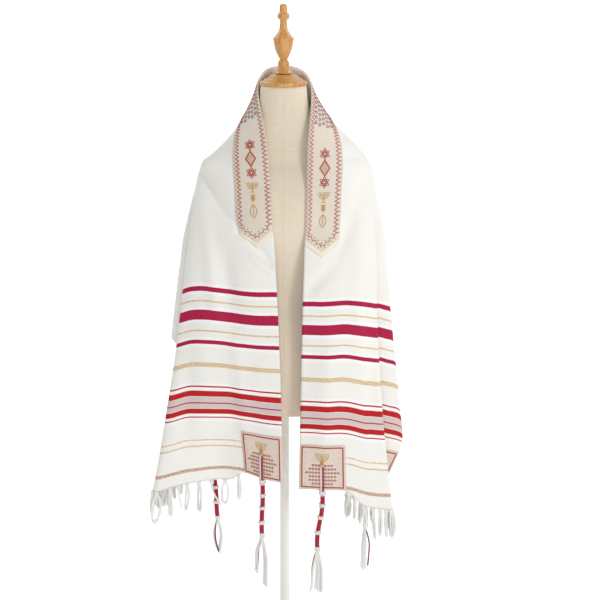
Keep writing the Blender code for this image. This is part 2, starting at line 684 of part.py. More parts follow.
def tube(points, radii, sides):
    """A closed tube through points, with a radius at each, as a mesh."""
    curve = bpy.data.curves.new("tube", "CURVE")
    curve.dimensions = "3D"
    curve.bevel_depth = 1.0
    curve.bevel_resolution = max(sides // 4 - 1, 0)
    curve.use_fill_caps = True
    spline = curve.splines.new("POLY")
    spline.points.add(len(points) - 1)
    for slot, point, radius in zip(spline.points, points, radii):
        slot.co = (*point, 1)
        slot.radius = radius
    holder = bpy.data.objects.new("tube", curve)
    bpy.context.scene.collection.objects.link(holder)
    bpy.context.view_layer.update()
    mesh = bpy.data.meshes.new_from_object(holder.evaluated_get(bpy.context.evaluated_depsgraph_get()))
    bpy.data.objects.remove(holder)
    bpy.data.curves.remove(curve)
    bm = bmesh.new()
    bm.from_mesh(mesh)
    bmesh.ops.remove_doubles(bm, verts=bm.verts, dist=1e-6)
    bmesh.ops.recalc_face_normals(bm, faces=bm.faces)
    bm.to_mesh(mesh)
    bm.free()
    return mesh


def fused(name, meshes, material, collection):
    """One body made of meshes that run into each other."""
    whole = new_object(name, meshes[0], material, collection)
    for mesh in meshes[1:]:
        tool = bpy.data.objects.new("tool", mesh)
        bpy.context.scene.collection.objects.link(tool)
        join = whole.modifiers.new("Join", "BOOLEAN")
        join.operation = "UNION"
        join.solver = "EXACT"
        join.object = tool
        bpy.context.view_layer.update()
        result = bpy.data.meshes.new_from_object(whole.evaluated_get(bpy.context.evaluated_depsgraph_get()))
        whole.modifiers.clear()
        old = whole.data
        whole.data = result
        bpy.data.meshes.remove(old)
        bpy.data.objects.remove(tool)
    whole.data.name = name
    return whole


def build_tassel(cloth, name, across, side, shape, material, collection):
    """A corner tassel: a cord looped through the hole, a knotted and wound stem, and strands."""
    stretch, lean, gap = shape
    end = SHAWL_HALF_LENGTH * side
    hole = end - HOLE_INSET * side
    front = CLOTH_THICKNESS / 2 + SEAM_GAP + TRIM_THICKNESS + gap + TASSEL_CORD
    behind = -(CLOTH_THICKNESS / 2 + gap + TASSEL_CORD)
    steps = [hole + (end - hole) * share for share in (0.0, 0.25, 0.5, 0.75, 0.95)]
    knot = hem_point(cloth, across, side, 0.001, TASSEL_KNOT_DROP)
    facing = cloth.at(across, end, 1.0) - cloth.at(across, end, 0.0)
    loop = [knot + facing * 0.002]
    loop.append(hem_point(cloth, across, side, front, 0.002))
    loop.extend(cloth.at(across, v, front) for v in reversed(steps))
    loop.extend(cloth.at(across, v, behind) for v in steps)
    loop.append(hem_point(cloth, across, side, behind, 0.002))
    loop.append(knot - facing * 0.002)
    meshes = [tube(loop, [TASSEL_CORD] * len(loop), 4)]
    stem, radii = [], []
    for drop, radius in TASSEL_STEM:
        bend = lean * math.sin(math.pi * drop / 0.12)
        stem.append(knot + Vector((bend, 0, -drop * stretch)))
        radii.append(radius)
    meshes.append(tube(stem, radii, 8))
    foot = stem[-1]
    for number in range(TASSEL_STRANDS):
        angle = 2 * math.pi * (number + 0.5) / TASSEL_STRANDS
        out = Vector((math.cos(angle), math.sin(angle), 0))
        length = TASSEL_STRAND_LENGTH * stretch * (1 + 0.08 * math.sin(number * 2.1))
        start = foot + out * 0.0024 + Vector((0, 0, 0.006))
        middle = start + out * 0.003 - Vector((0, 0, 0.3 * length))
        path = [start, middle, start + out * 0.006 - Vector((0, 0, length))]
        meshes.append(tube(path, [0.0014, 0.0013, 0.0008], 4))
    return fused(name, meshes, material, collection)


def main():
    """Build every piece."""
    clean_scene()
    collection = bpy.data.collections.new("tallit_on_dress_form")
    bpy.context.scene.collection.children.link(collection)
    cotton = principled("white_cloth", (0.86, 0.85, 0.81), 0.85, 0.3)
    satin = principled("collar_satin", (0.70, 0.62, 0.54), 0.55, 0.3)
    patch_satin = principled("patch_satin", (0.68, 0.61, 0.53), 0.55, 0.3)
    cord = principled("tassel_cord", (0.55, 0.03, 0.06), 0.8)
    yarn = principled("fringe_yarn", (0.88, 0.87, 0.84), 0.9)
    linen = principled("form_linen", (0.72, 0.62, 0.47), 0.9)
    wood = principled("turned_wood", (0.55, 0.29, 0.10), 0.35)
    metal = principled("painted_metal", (0.80, 0.79, 0.76), 0.4)
    cloth = Cloth()
    build_shawl(cloth, cotton, collection)
    build_collar(cloth, satin, collection)
    build_patches(cloth, patch_satin, collection)
    build_fringe(cloth, "fringe_left", -1, yarn, collection)
    build_fringe(cloth, "fringe_right", 1, yarn, collection)
    far = SHAWL_WIDTH - HOLE_INSET
    build_tassel(cloth, "tassel_left_inner", HOLE_INSET, -1, (1.2, 0.003, 0.0006), cord, collection)
    build_tassel(cloth, "tassel_left_outer", far, -1, (1.05, -0.002, 0.0005), cord, collection)
    build_tassel(cloth, "tassel_right_inner", HOLE_INSET, 1, (1.25, 0.003, 0.0007), cord, collection)
    build_tassel(cloth, "tassel_right_outer", far, 1, (1.0, 0.002, 0.0002), cord, collection)
    build_form(linen, collection)
    turned("neck_cap", CAP_PROFILE, 30, wood, collection)
    turned("finial", FINIAL_PROFILE, 22, wood, collection)
    turned("stand_pole", POLE_PROFILE, 24, metal, collection)
    turned("stand_base", BASE_PROFILE, 36, metal, collection)


if __name__ == "__main__":
    main()
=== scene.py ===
"""A tallit prayer shawl draped round a limbless dress form: its cloth, trims, fringes and stand.

Metres, +Z up, the wearer's front towards -Y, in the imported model's own place. The shawl is one
rectangle of cloth. A point on it has two places on the cut: "across", from its neck edge to its
outer edge, and "along", from the middle of the back towards either fringed end. Sheets are cut
flat, in those two places, and then draped.
"""

import math
from collections import namedtuple

import bmesh
import bpy
import numpy as np
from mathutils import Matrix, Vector


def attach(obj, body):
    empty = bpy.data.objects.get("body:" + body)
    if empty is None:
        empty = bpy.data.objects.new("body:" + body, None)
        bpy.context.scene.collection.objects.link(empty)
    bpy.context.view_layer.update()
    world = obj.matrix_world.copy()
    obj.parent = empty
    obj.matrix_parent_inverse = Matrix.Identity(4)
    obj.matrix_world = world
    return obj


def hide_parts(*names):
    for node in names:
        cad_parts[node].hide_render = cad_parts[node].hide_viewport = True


bl_info = {
    "name": "Tallit on a dress form",
    "version": (1, 0, 0),
    "blender": (4, 5, 0),
    "location": "3D View > Sidebar > Tallit",
    "description": "Makes a draped prayer shawl with its trims, fringes and tassels, and its form",
    "category": "Object",
}

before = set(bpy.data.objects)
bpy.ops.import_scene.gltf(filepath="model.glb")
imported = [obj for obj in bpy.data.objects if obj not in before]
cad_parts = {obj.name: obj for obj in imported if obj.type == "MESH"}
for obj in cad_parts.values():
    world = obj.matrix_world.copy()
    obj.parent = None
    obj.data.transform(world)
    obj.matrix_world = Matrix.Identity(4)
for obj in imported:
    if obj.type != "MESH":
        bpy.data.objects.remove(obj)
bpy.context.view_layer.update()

# The cut, and where the shoulder's tip comes on it
SHAWL_WIDTH = 0.580
SHAWL_HALF_LENGTH = 1.010
COLLAR_WIDTH = 0.084
COLLAR_HALF_LENGTH = 0.450
COLLAR_POINT = 0.028
PATCH_SIZE = 0.108
HOLE_INSET = 0.054
HOLE_RADIUS = 0.0040
HEM_DROP = 0.026
HEM_TURN = 0.040
DRAWN_RIGHT = 0.012
TIP_ACROSS = 0.165
TIP_ALONG = 0.270
MID_DROP = 0.400
LOW_DROP = 0.750
LONGEST_DROP = 0.960
TIP_FLARE = 0.009
FLARE_DROP = 0.050
FORM_CLEARANCE = 0.0037

# The draped grid's squares, and how far round the yoke's rim the cloth settles
COLUMNS = 104
ROWS = 364
SETTLED_BAND = 0.095
SETTLED_ACROSS = 0.025
SETTLED_ALONG = 0.030
SETTLING_ROUNDS = 240

YokeRow = namedtuple("YokeRow", "along edge band slope rim")
Hang = namedtuple("Hang", "rim place reach x_mid y_mid x_low y_low")
Section = namedtuple("Section", "height half_width front back")
Crease = namedtuple("Crease", "across along to_across to_along width depth")
Stripe = namedtuple("Stripe", "start end colour")
Lock = namedtuple("Lock", "across width length lean yarns")
Tassel = namedtuple("Tassel", "across side knots drift bend strands")
Strand = namedtuple("Strand", "start bulge end length shade")

# Yoke of each half: a row for each section, with its point at the neck edge, under the
# collar band, on the shoulder's slope and at the yoke's rim. x is away from the middle.
LEFT_YOKE = [
    YokeRow(0.00, (0.000, 0.058, 1.346), (0.000, 0.069, 1.293),
            (0.000, 0.081, 1.240), (0.000, 0.094, 1.188)),
    YokeRow(0.09, (0.054, 0.015, 1.316), (0.066, 0.040, 1.274),
            (0.078, 0.064, 1.228), (0.089, 0.086, 1.181)),
    YokeRow(0.18, (0.047, -0.046, 1.244), (0.084, -0.016, 1.226),
            (0.123, 0.022, 1.190), (0.155, 0.062, 1.158)),
    YokeRow(0.27, (0.032, -0.085, 1.160), (0.083, -0.080, 1.156),
            (0.136, -0.054, 1.154), (0.188, 0.000, 1.151)),
]
RIGHT_YOKE = [
    YokeRow(0.00, (0.000, 0.058, 1.346), (0.000, 0.069, 1.293),
            (0.000, 0.081, 1.240), (0.000, 0.094, 1.188)),
    YokeRow(0.09, (0.057, 0.015, 1.316), (0.069, 0.040, 1.275),
            (0.081, 0.064, 1.229), (0.091, 0.086, 1.182)),
    YokeRow(0.18, (0.058, -0.046, 1.244), (0.094, -0.014, 1.232),
            (0.133, 0.024, 1.202), (0.164, 0.064, 1.166)),
    YokeRow(0.27, (0.052, -0.084, 1.160), (0.103, -0.078, 1.159),
            (0.155, -0.050, 1.159), (0.201, 0.000, 1.148)),
]

# What hangs from the yoke's rim: a row for each rail down the cloth, from the neck edge at the
# front round to the middle of the back. "front" rails start at that distance across, "tip" rails
# leave the shoulder's tip at that angle on the cut, and "back" rails start at that distance along.
LEFT_HANGS = [
    Hang("front", 0.000, 1.00, 0.010, -0.136, 0.003, -0.142),
    Hang("front", 0.055, 0.99, 0.059, -0.130, 0.049, -0.120),
    Hang("front", 0.110, 0.985, 0.108, -0.119, 0.090, -0.094),
    Hang("tip", 0.0, 1.00, 0.160, -0.114, 0.142, -0.080),
    Hang("tip", 6.0, 0.99, 0.208, -0.106, 0.226, -0.104),
    Hang("tip", 10.0, 1.00, 0.235, -0.088, 0.289, -0.112),
    Hang("tip", 14.0, 0.97, 0.228, -0.064, 0.282, -0.078),
    Hang("tip", 20.0, 0.94, 0.206, -0.062, 0.248, -0.056),
    Hang("tip", 28.0, 0.90, 0.178, -0.072, 0.150, -0.046),
    Hang("tip", 35.0, 0.90, 0.162, -0.075, 0.101, -0.064),
    Hang("tip", 42.0, 0.91, 0.174, -0.052, 0.136, -0.036),
    Hang("tip", 50.0, 0.94, 0.186, -0.040, 0.160, -0.034),
    Hang("tip", 60.0, 0.95, 0.196, -0.040, 0.200, -0.048),
    Hang("tip", 68.0, 0.96, 0.236, -0.028, 0.270, -0.020),
    Hang("tip", 74.0, 0.97, 0.253, -0.006, 0.290, 0.010),
    Hang("tip", 80.0, 0.98, 0.244, 0.016, 0.300, 0.040),
    Hang("tip", 88.0, 0.99, 0.202, 0.028, 0.220, 0.050),
    Hang("back", 0.235, 1.00, 0.188, 0.054, 0.190, 0.070),
    Hang("back", 0.175, 1.00, 0.176, 0.100, 0.190, 0.120),
    Hang("back", 0.090, 1.00, 0.094, 0.124, 0.100, 0.130),
    Hang("back", 0.000, 1.00, 0.000, 0.120, 0.000, 0.130),
]
RIGHT_HANGS = [
    Hang("front", 0.000, 0.99, 0.040, -0.132, 0.034, -0.132),
    Hang("front", 0.055, 0.99, 0.089, -0.138, 0.087, -0.140),
    Hang("front", 0.110, 1.00, 0.138, -0.134, 0.141, -0.142),
    Hang("tip", 0.0, 1.02, 0.183, -0.116, 0.194, -0.136),
    Hang("tip", 5.0, 1.02, 0.209, -0.094, 0.238, -0.122),
    Hang("tip", 9.0, 1.01, 0.200, -0.070, 0.232, -0.094),
    Hang("tip", 14.0, 0.98, 0.170, -0.064, 0.178, -0.076),
    Hang("tip", 19.0, 0.95, 0.158, -0.044, 0.142, -0.052),
    Hang("tip", 24.0, 0.93, 0.186, -0.028, 0.170, -0.028),
    Hang("tip", 30.0, 0.91, 0.226, -0.016, 0.234, -0.012),
    Hang("tip", 34.5, 0.90, 0.243, 0.004, 0.276, 0.008),
    Hang("tip", 39.0, 0.92, 0.228, 0.024, 0.264, 0.036),
    Hang("tip", 46.0, 0.94, 0.182, 0.026, 0.200, 0.040),
    Hang("tip", 53.0, 0.95, 0.164, 0.044, 0.160, 0.060),
    Hang("tip", 60.0, 0.96, 0.192, 0.060, 0.200, 0.090),
    Hang("tip", 68.0, 0.97, 0.234, 0.078, 0.270, 0.120),
    Hang("tip", 74.0, 0.98, 0.238, 0.102, 0.280, 0.150),
    Hang("tip", 82.0, 0.99, 0.196, 0.112, 0.220, 0.160),
    Hang("back", 0.250, 1.00, 0.160, 0.112, 0.160, 0.150),
    Hang("back", 0.180, 1.00, 0.132, 0.138, 0.130, 0.170),
    Hang("back", 0.090, 1.00, 0.070, 0.134, 0.070, 0.150),
    Hang("back", 0.000, 1.00, 0.000, 0.120, 0.000, 0.130),
]

# Dress form, a row for each height
FORM_SECTIONS = [
    Section(0.5730, 0.150, 0.098, 0.094),
    Section(0.6300, 0.164, 0.106, 0.106),
    Section(0.6800, 0.166, 0.106, 0.110),
    Section(0.7600, 0.149, 0.100, 0.096),
    Section(0.8400, 0.120, 0.088, 0.074),
    Section(0.9300, 0.131, 0.098, 0.076),
    Section(1.0200, 0.154, 0.114, 0.086),
    Section(1.0800, 0.171, 0.100, 0.090),
    Section(1.1100, 0.179, 0.087, 0.087),
    Section(1.1280, 0.181, 0.077, 0.082),
    Section(1.1400, 0.174, 0.069, 0.078),
    Section(1.1520, 0.155, 0.064, 0.074),
    Section(1.1680, 0.127, 0.059, 0.069),
    Section(1.1900, 0.099, 0.053, 0.063),
    Section(1.2150, 0.078, 0.050, 0.058),
    Section(1.2400, 0.064, 0.048, 0.055),
    Section(1.2700, 0.055, 0.047, 0.051),
    Section(1.3065, 0.050, 0.048, 0.049),
]
FORM_SQUARENESS = 2.25
FORM_BOTTOM_ROUND = 0.012

# Creases on the cut, as soft ridges (depth above zero) and troughs. Along is below zero on the
# viewer's left.
CREASES = [
    Crease(0.158, -0.275, 0.128, -0.350, 0.022, -0.0104),
    Crease(0.134, -0.335, 0.062, -0.450, 0.022, -0.0120),
    Crease(0.078, -0.430, 0.004, -0.520, 0.014, -0.0088),
    Crease(0.062, -0.492, 0.002, -0.540, 0.007, 0.0054),
    Crease(0.052, -0.466, 0.002, -0.498, 0.006, 0.0048),
    Crease(0.110, -0.300, 0.090, -0.450, 0.014, 0.0072),
    Crease(0.160, -0.330, 0.150, -0.640, 0.016, 0.0064),
    Crease(0.120, -0.480, 0.112, -0.700, 0.020, -0.0056),
    Crease(0.110, -0.600, 0.095, -0.960, 0.022, 0.0056),
    Crease(0.200, -0.600, 0.235, -0.980, 0.020, -0.0072),
    Crease(0.098, 0.235, 0.130, 0.290, 0.018, -0.0080),
    Crease(0.150, 0.285, 0.118, 0.400, 0.020, -0.0080),
    Crease(0.120, 0.380, 0.085, 0.480, 0.016, -0.0080),
    Crease(0.090, 0.480, 0.004, 0.560, 0.014, -0.0056),
    Crease(0.140, 0.330, 0.135, 0.700, 0.018, 0.0058),
    Crease(0.070, 0.600, 0.060, 0.980, 0.024, 0.0051),
    Crease(0.175, 0.560, 0.190, 0.960, 0.016, -0.0064),
    Crease(0.170, 0.120, 0.560, 0.160, 0.022, 0.0088),
    Crease(0.200, 0.060, 0.570, 0.070, 0.020, -0.0080),
    Crease(0.190, -0.040, 0.565, -0.050, 0.024, 0.0088),
    Crease(0.170, -0.120, 0.560, -0.150, 0.022, -0.0080),
    Crease(0.230, 0.200, 0.575, 0.250, 0.018, 0.0072),
    Crease(0.230, -0.200, 0.575, -0.240, 0.018, 0.0072),
    Crease(0.100, 0.020, 0.220, 0.010, 0.014, -0.0048),
]

# Woven stripes, by their distance from the hem
STRIPES = [
    Stripe(0.0290, 0.0370, "bronze"),
    Stripe(0.0895, 0.0925, "gold"),
    Stripe(0.1045, 0.1075, "gold"),
    Stripe(0.1525, 0.1600, "satin"),
    Stripe(0.1600, 0.1630, "red"),
    Stripe(0.1630, 0.1685, "satin"),
    Stripe(0.1685, 0.1700, "pale_gold"),
    Stripe(0.1700, 0.1820, "red"),
    Stripe(0.1820, 0.1835, "pale_gold"),
    Stripe(0.1835, 0.1940, "twill"),
    Stripe(0.1940, 0.1970, "red"),
    Stripe(0.1970, 0.2095, "twill"),
    Stripe(0.2095, 0.2110, "pale_gold"),
    Stripe(0.2110, 0.2240, "red"),
    Stripe(0.2240, 0.2255, "pale_gold"),
    Stripe(0.2255, 0.2325, "satin"),
    Stripe(0.2325, 0.2360, "red"),
    Stripe(0.2360, 0.2420, "satin"),
    Stripe(0.2790, 0.2890, "gold"),
    Stripe(0.3240, 0.3310, "satin"),
    Stripe(0.3310, 0.3400, "crimson"),
    Stripe(0.3400, 0.3470, "satin"),
    Stripe(0.3590, 0.3630, "gold"),
    Stripe(0.3780, 0.3850, "satin"),
    Stripe(0.3850, 0.4080, "crimson"),
    Stripe(0.4080, 0.4150, "satin"),
    Stripe(0.4260, 0.4290, "gold"),
    Stripe(0.4420, 0.4490, "satin"),
    Stripe(0.4490, 0.4600, "crimson"),
    Stripe(0.4600, 0.4670, "satin"),
]
STRIPE_RAMPS = [(0.0, 0.1835), (0.1835, 0.26), (0.26, 0.49)]

# Turned pieces, as (radius, height) down the outer side
CAP_PROFILE = [
    (0.0, 1.3330), (0.0120, 1.3325), (0.0250, 1.3300), (0.0330, 1.3265),
    (0.0340, 1.3240), (0.0420, 1.3215), (0.0430, 1.3190), (0.0500, 1.3165),
    (0.0515, 1.3140), (0.0515, 1.3085), (0.0500, 1.3068), (0.0, 1.3068),
]
FINIAL_PROFILE = [
    (0.0, 1.4830), (0.0050, 1.4820), (0.0082, 1.4795), (0.0086, 1.4660), (0.0110, 1.4630),
    (0.0134, 1.4575), (0.0118, 1.4510), (0.0077, 1.4470), (0.0092, 1.4290), (0.0116, 1.4240),
    (0.0170, 1.4150), (0.0224, 1.4100), (0.0226, 1.4050), (0.0219, 1.4030), (0.0208, 1.3960),
    (0.0178, 1.3830), (0.0123, 1.3710), (0.0080, 1.3625), (0.0108, 1.3615), (0.0108, 1.3590),
    (0.0123, 1.3580), (0.0123, 1.3510), (0.0130, 1.3485), (0.0160, 1.3400), (0.0190, 1.3340),
    (0.0190, 1.3333), (0.0, 1.3333),
]
POLE_PROFILE = [
    (0.0, 0.5727), (0.0350, 0.5727), (0.0350, 0.5697), (0.0150, 0.5677), (0.0110, 0.5640),
    (0.0110, 0.0313), (0.0, 0.0313),
]
BASE_PROFILE = [
    (0.0, 0.0310), (0.0170, 0.0310), (0.0190, 0.0290), (0.0200, 0.0180), (0.0240, 0.0150),
    (0.1400, 0.0130), (0.1560, 0.0110), (0.1600, 0.0070), (0.1600, 0.0020), (0.1585, 0.0),
    (0.0, 0.0),
]

# Fringe locks that show at the front, from the inner patch outwards
LEFT_LOCKS = [
    Lock(0.124, 0.012, 0.064, 0.000, 3),
    Lock(0.158, 0.021, 0.066, 0.002, 2),
    Lock(0.188, 0.004, 0.064, -0.024, 1),
    Lock(0.214, 0.017, 0.070, 0.002, 4),
    Lock(0.238, 0.014, 0.062, 0.004, 3),
    Lock(0.254, 0.004, 0.056, -0.004, 1),
    Lock(0.268, 0.012, 0.070, 0.000, 3),
    Lock(0.292, 0.026, 0.074, 0.004, 2),
]
RIGHT_LOCKS = [
    Lock(0.114, 0.004, 0.042, -0.008, 1),
    Lock(0.128, 0.006, 0.052, 0.000, 2),
    Lock(0.148, 0.013, 0.056, 0.002, 3),
    Lock(0.170, 0.011, 0.074, 0.003, 3),
    Lock(0.190, 0.012, 0.066, 0.000, 3),
    Lock(0.208, 0.010, 0.070, 0.002, 3),
    Lock(0.228, 0.014, 0.066, 0.003, 4),
    Lock(0.248, 0.014, 0.064, 0.002, 4),
    Lock(0.266, 0.012, 0.056, -0.003, 3),
]
LOCK_PITCH = 0.0175
FRINGE_YARN = 0.0023
LOCK_KNOT_DROP = 0.007
LOCK_KNOT_HALF = (0.0033, 0.0026)
LOCK_ROOTS = (-0.0045, 0.0, 0.0045)

# Tassels: radii of a ply of the patch cord, of the knots' cord, of the winding and of the strands
CORD_PLY = 0.0020
CORD_PITCH = 0.0065
CORD_OFFSET = 0.0024
CORD_LIFT = 0.0046
KNOT_PLY = 0.0016
KNOT_HALF_HEIGHT = 0.0052
KNOT_PROFILE = (0.25, 0.55, 0.72, 0.78, 0.72, 0.55, 0.25)
FIRST_KNOT, MIDDLE_KNOT, LAST_KNOT = 0.0092, 0.0084, 0.0070
WOUND_GAP = 0.0058
WOUND_PITCH = 0.0021
WOUND_RADIUS = 0.0043
WOUND_CORE = 0.0041
WOUND_CORD = 0.0012
STRAND_PLY = {"white": 0.0031, "maroon": 0.0019}
STRAND_PITCH = 0.012

# Knots are drops below the hem. Strands start, bulge and end at those distances to the right.
TASSELS = {
    "tassel_left_inner": Tassel(HOLE_INSET, -1, (0.007, 0.040, 0.070, 0.104, 0.134), 0.000, 0.0015, (
        Strand(-0.003, -0.013, -0.015, 0.088, "white"), Strand(-0.001, -0.010, -0.011, 0.092, "white"),
        Strand(-0.002, -0.008, -0.012, 0.082, "maroon"), Strand(0.002, 0.007, 0.006, 0.122, "white"),
        Strand(0.003, 0.010, 0.010, 0.126, "white"), Strand(0.001, 0.005, 0.003, 0.120, "white"),
    )),
    "tassel_left_outer": Tassel(SHAWL_WIDTH - HOLE_INSET, -1, (0.008, 0.042, 0.078, 0.116), 0.100, 0.0020, (
        Strand(-0.002, -0.009, 0.002, 0.086, "white"), Strand(-0.003, -0.006, 0.002, 0.086, "maroon"),
        Strand(0.003, 0.009, 0.004, 0.087, "white"), Strand(0.002, 0.007, 0.002, 0.085, "white"),
    )),
    "tassel_right_inner": Tassel(HOLE_INSET, 1, (0.007, 0.037, 0.066, 0.101, 0.140), -0.070, 0.0030, (
        Strand(-0.004, -0.011, -0.014, 0.100, "maroon"), Strand(-0.002, -0.009, -0.015, 0.104, "white"),
        Strand(0.001, 0.003, 0.002, 0.102, "white"), Strand(0.002, 0.007, 0.008, 0.106, "white"),
        Strand(0.003, 0.010, 0.011, 0.102, "white"), Strand(0.000, -0.001, -0.004, 0.098, "white"),
    )),
    "tassel_right_outer": Tassel(SHAWL_WIDTH - HOLE_INSET, 1, (0.008, 0.036, 0.066, 0.092), 0.060, 0.0010, (
        Strand(-0.003, -0.006, -0.008, 0.106, "white"), Strand(-0.001, -0.003, -0.003, 0.110, "white"),
        Strand(0.000, 0.001, 0.001, 0.106, "white"), Strand(0.003, 0.010, 0.007, 0.100, "maroon"),
    )),
}


def screen(red, green, blue):
    """A colour picked on a screen, 0 to 255, in linear light."""
    return tuple(
        c / 255 / 12.92 if c <= 10 else ((c / 255 + 0.055) / 1.055) ** 2.4 for c in (red, green, blue)
    )


def size(name, description, default, longest=2.0):
    """A length that a user may change."""
    return bpy.props.FloatProperty(
        name=name, description=description, default=default, min=0.0, max=longest,
        subtype="DISTANCE", unit="LENGTH", precision=4,
    )


def share(name, description, default):
    """A share from none to all that a user may change."""
    return bpy.props.FloatProperty(
        name=name, description=description, default=default, min=0.0, max=1.0, subtype="FACTOR",
    )


def colour(name, description, default):
    """A colour that a user may change."""
    return bpy.props.FloatVectorProperty(
        name=name, description=description, default=default, size=3, min=0.0, max=1.0,
        subtype="COLOR",
    )


class ClothSettings(bpy.types.PropertyGroup):
    """The shawl's cloth and its woven stripes."""

    thickness: size("Cloth thickness", "Thickness of the shawl's cloth", 0.0014, 0.003)
    crease_share: share("Creases", "How strongly the pressed creases show", 1.0)
    white: colour("White", "Ground of the cloth", screen(240, 238, 232))
    # The satin white is also the colour of the painted glints on the metallic stripes.
    satin: colour("Satin white", "White satin lines beside the stripes", screen(246, 246, 244))
    crimson: colour("Crimson", "Upper stripes", screen(172, 0, 62))
    red: colour("Red", "Lower bands and thin lines", screen(186, 0, 34))
    gold: colour("Gold", "Gold metallic lines", screen(206, 172, 104))
    pale_gold: colour("Pale gold", "Gold edges of the bands", screen(232, 214, 160))
    bronze: colour("Bronze", "Line nearest the hem", screen(180, 124, 84))
    twill: colour("Twill", "Grey pink fields between the bands", screen(212, 198, 196))


class TrimSettings(bpy.types.PropertyGroup):
    """The neck band, the patches and their embroidery."""

    thickness: size("Trim thickness", "Thickness of the band and the patches", 0.0011, 0.002)
    thread: size("Stitch width", "Width of an embroidered line", 0.0019, 0.004)
    band: colour("Band satin", "Ground of the neck band", screen(224, 213, 198))
    band_point: colour("Band point", "Ground beyond the embroidered border", screen(240, 229, 208))
    patch: colour("Patch satin", "Ground of the corner patches", screen(222, 206, 192))
    brick: colour("Brick red", "Borders and small motifs", screen(178, 66, 28))
    orange: colour("Orange", "Filled motifs", screen(200, 92, 34))
    amber: colour("Gold thread", "Lamps and leaves", screen(200, 152, 40))
    maroon: colour("Dark red", "Dense rows beside the neck", screen(134, 34, 48))
    pale: colour("Pale thread", "Inside of the filled motifs", screen(206, 190, 168))


class YarnSettings(bpy.types.PropertyGroup):
    """Fringes and corner tassels."""

    white: colour("White yarn", "Fringe and white cords", screen(240, 239, 236))
    red: colour("Red yarn", "Winding of the tassels", screen(178, 8, 44))
    maroon: colour("Maroon yarn", "Free red strand", screen(128, 26, 52))


class FormSettings(bpy.types.PropertyGroup):
    """The dress form and what it stands on."""

    linen: colour("Linen", "Cover of the dress form", screen(228, 214, 192))
    wood: colour("Wood", "Light grain of the turned wood", screen(216, 164, 94))
    wood_dark: colour("Dark wood", "Dark grain of the turned wood", screen(190, 128, 60))
    metal: colour("Stand", "Paint of the pole and the base", screen(232, 230, 224))


class StageSettings(bpy.types.PropertyGroup):
    """The floor and the light."""

    floor: colour("Floor", "Floor and backdrop", (0.94, 0.94, 0.94))
    light: bpy.props.FloatProperty(
        name="Light", description="Strength of the studio light", default=1.0, min=0.0, max=4.0,
    )


def smooth_table(keys, values, at):
    """Values at places between a table's rows, on smooth curves through the rows."""
    keys = np.asarray(keys, float)
    values = np.asarray(values, float)
    at = np.clip(np.asarray(at, float), keys[0], keys[-1])
    slopes = np.gradient(values, keys, axis=0)
    row = np.clip(np.searchsorted(keys, at, side="right") - 1, 0, len(keys) - 2)
    step = keys[row + 1] - keys[row]
    t = (at - keys[row]) / step
    if values.ndim > 1:
        t, step = t[..., None], step[..., None]
    return hermite(values[row], values[row + 1], slopes[row] * step, slopes[row + 1] * step, t)


def hermite(start, end, leave, arrive, t):
    """Cubic between two points, with its tangents at both."""
    return (
        (2 * t**3 - 3 * t**2 + 1) * start
        + (t**3 - 2 * t**2 + t) * leave
        + (3 * t**2 - 2 * t**3) * end
        + (t**3 - t**2) * arrive
    )


def form_section(height):
    """Half width, front depth and back depth of the dress form at a height."""
    table = np.array([row[1:] for row in FORM_SECTIONS])
    return smooth_table([row.height for row in FORM_SECTIONS], table, height)


def form_level(points):
    """How far points are outside the dress form's section, as a share of that section."""
    sizes = form_section(points[:, 2])
    depth = np.where(points[:, 1] < 0, sizes[:, 1], sizes[:, 2])
    power = FORM_SQUARENESS
    level = (np.abs(points[:, 0]) / sizes[:, 0]) ** power + (np.abs(points[:, 1]) / depth) ** power
    return level ** (1 / power) - 1


def clear_of_form(points, clearance):
    """Points moved out to a clearance from the dress form where they are nearer than that."""
    points = np.array(points, float)
    probe = 0.0005
    for _ in range(6):
        level = form_level(points)
        steps = probe * np.eye(3)
        changes = [form_level(points + step) - form_level(points - step) for step in steps]
        slope = np.stack(changes, axis=1) / (2 * probe)
        steepness = np.maximum(np.linalg.norm(slope, axis=1), 1e-6)
        short = clearance - level / steepness
        beside = (points[:, 2] > FORM_SECTIONS[0].height) & (points[:, 2] < FORM_SECTIONS[-1].height)
        move = np.where(beside, np.maximum(short, 0), 0)
        points += slope / steepness[:, None] * move[:, None]
    return points


def lagrange(places, at):
    """Weights of the points at the given places, for the one curve that runs through them all."""
    at = np.asarray(at, float)
    weights = []
    for i, own in enumerate(places):
        others = [place for j, place in enumerate(places) if j != i]
        weights.append(math.prod((at - other) / (own - other) for other in others))
    return np.array(weights)


def hem_drop(across, along):
    """How much further along the cut a place is because the hem hangs lower between the patches."""
    inner = np.minimum(across, SHAWL_WIDTH - across) - PATCH_SIZE
    gained = np.clip(inner / HEM_TURN, 0, 1)
    part = np.clip((np.abs(along) - SHAWL_HALF_LENGTH) / PATCH_SIZE + 1, 0, 1)
    return HEM_DROP * gained**2 * (3 - 2 * gained) * part * np.sign(along)


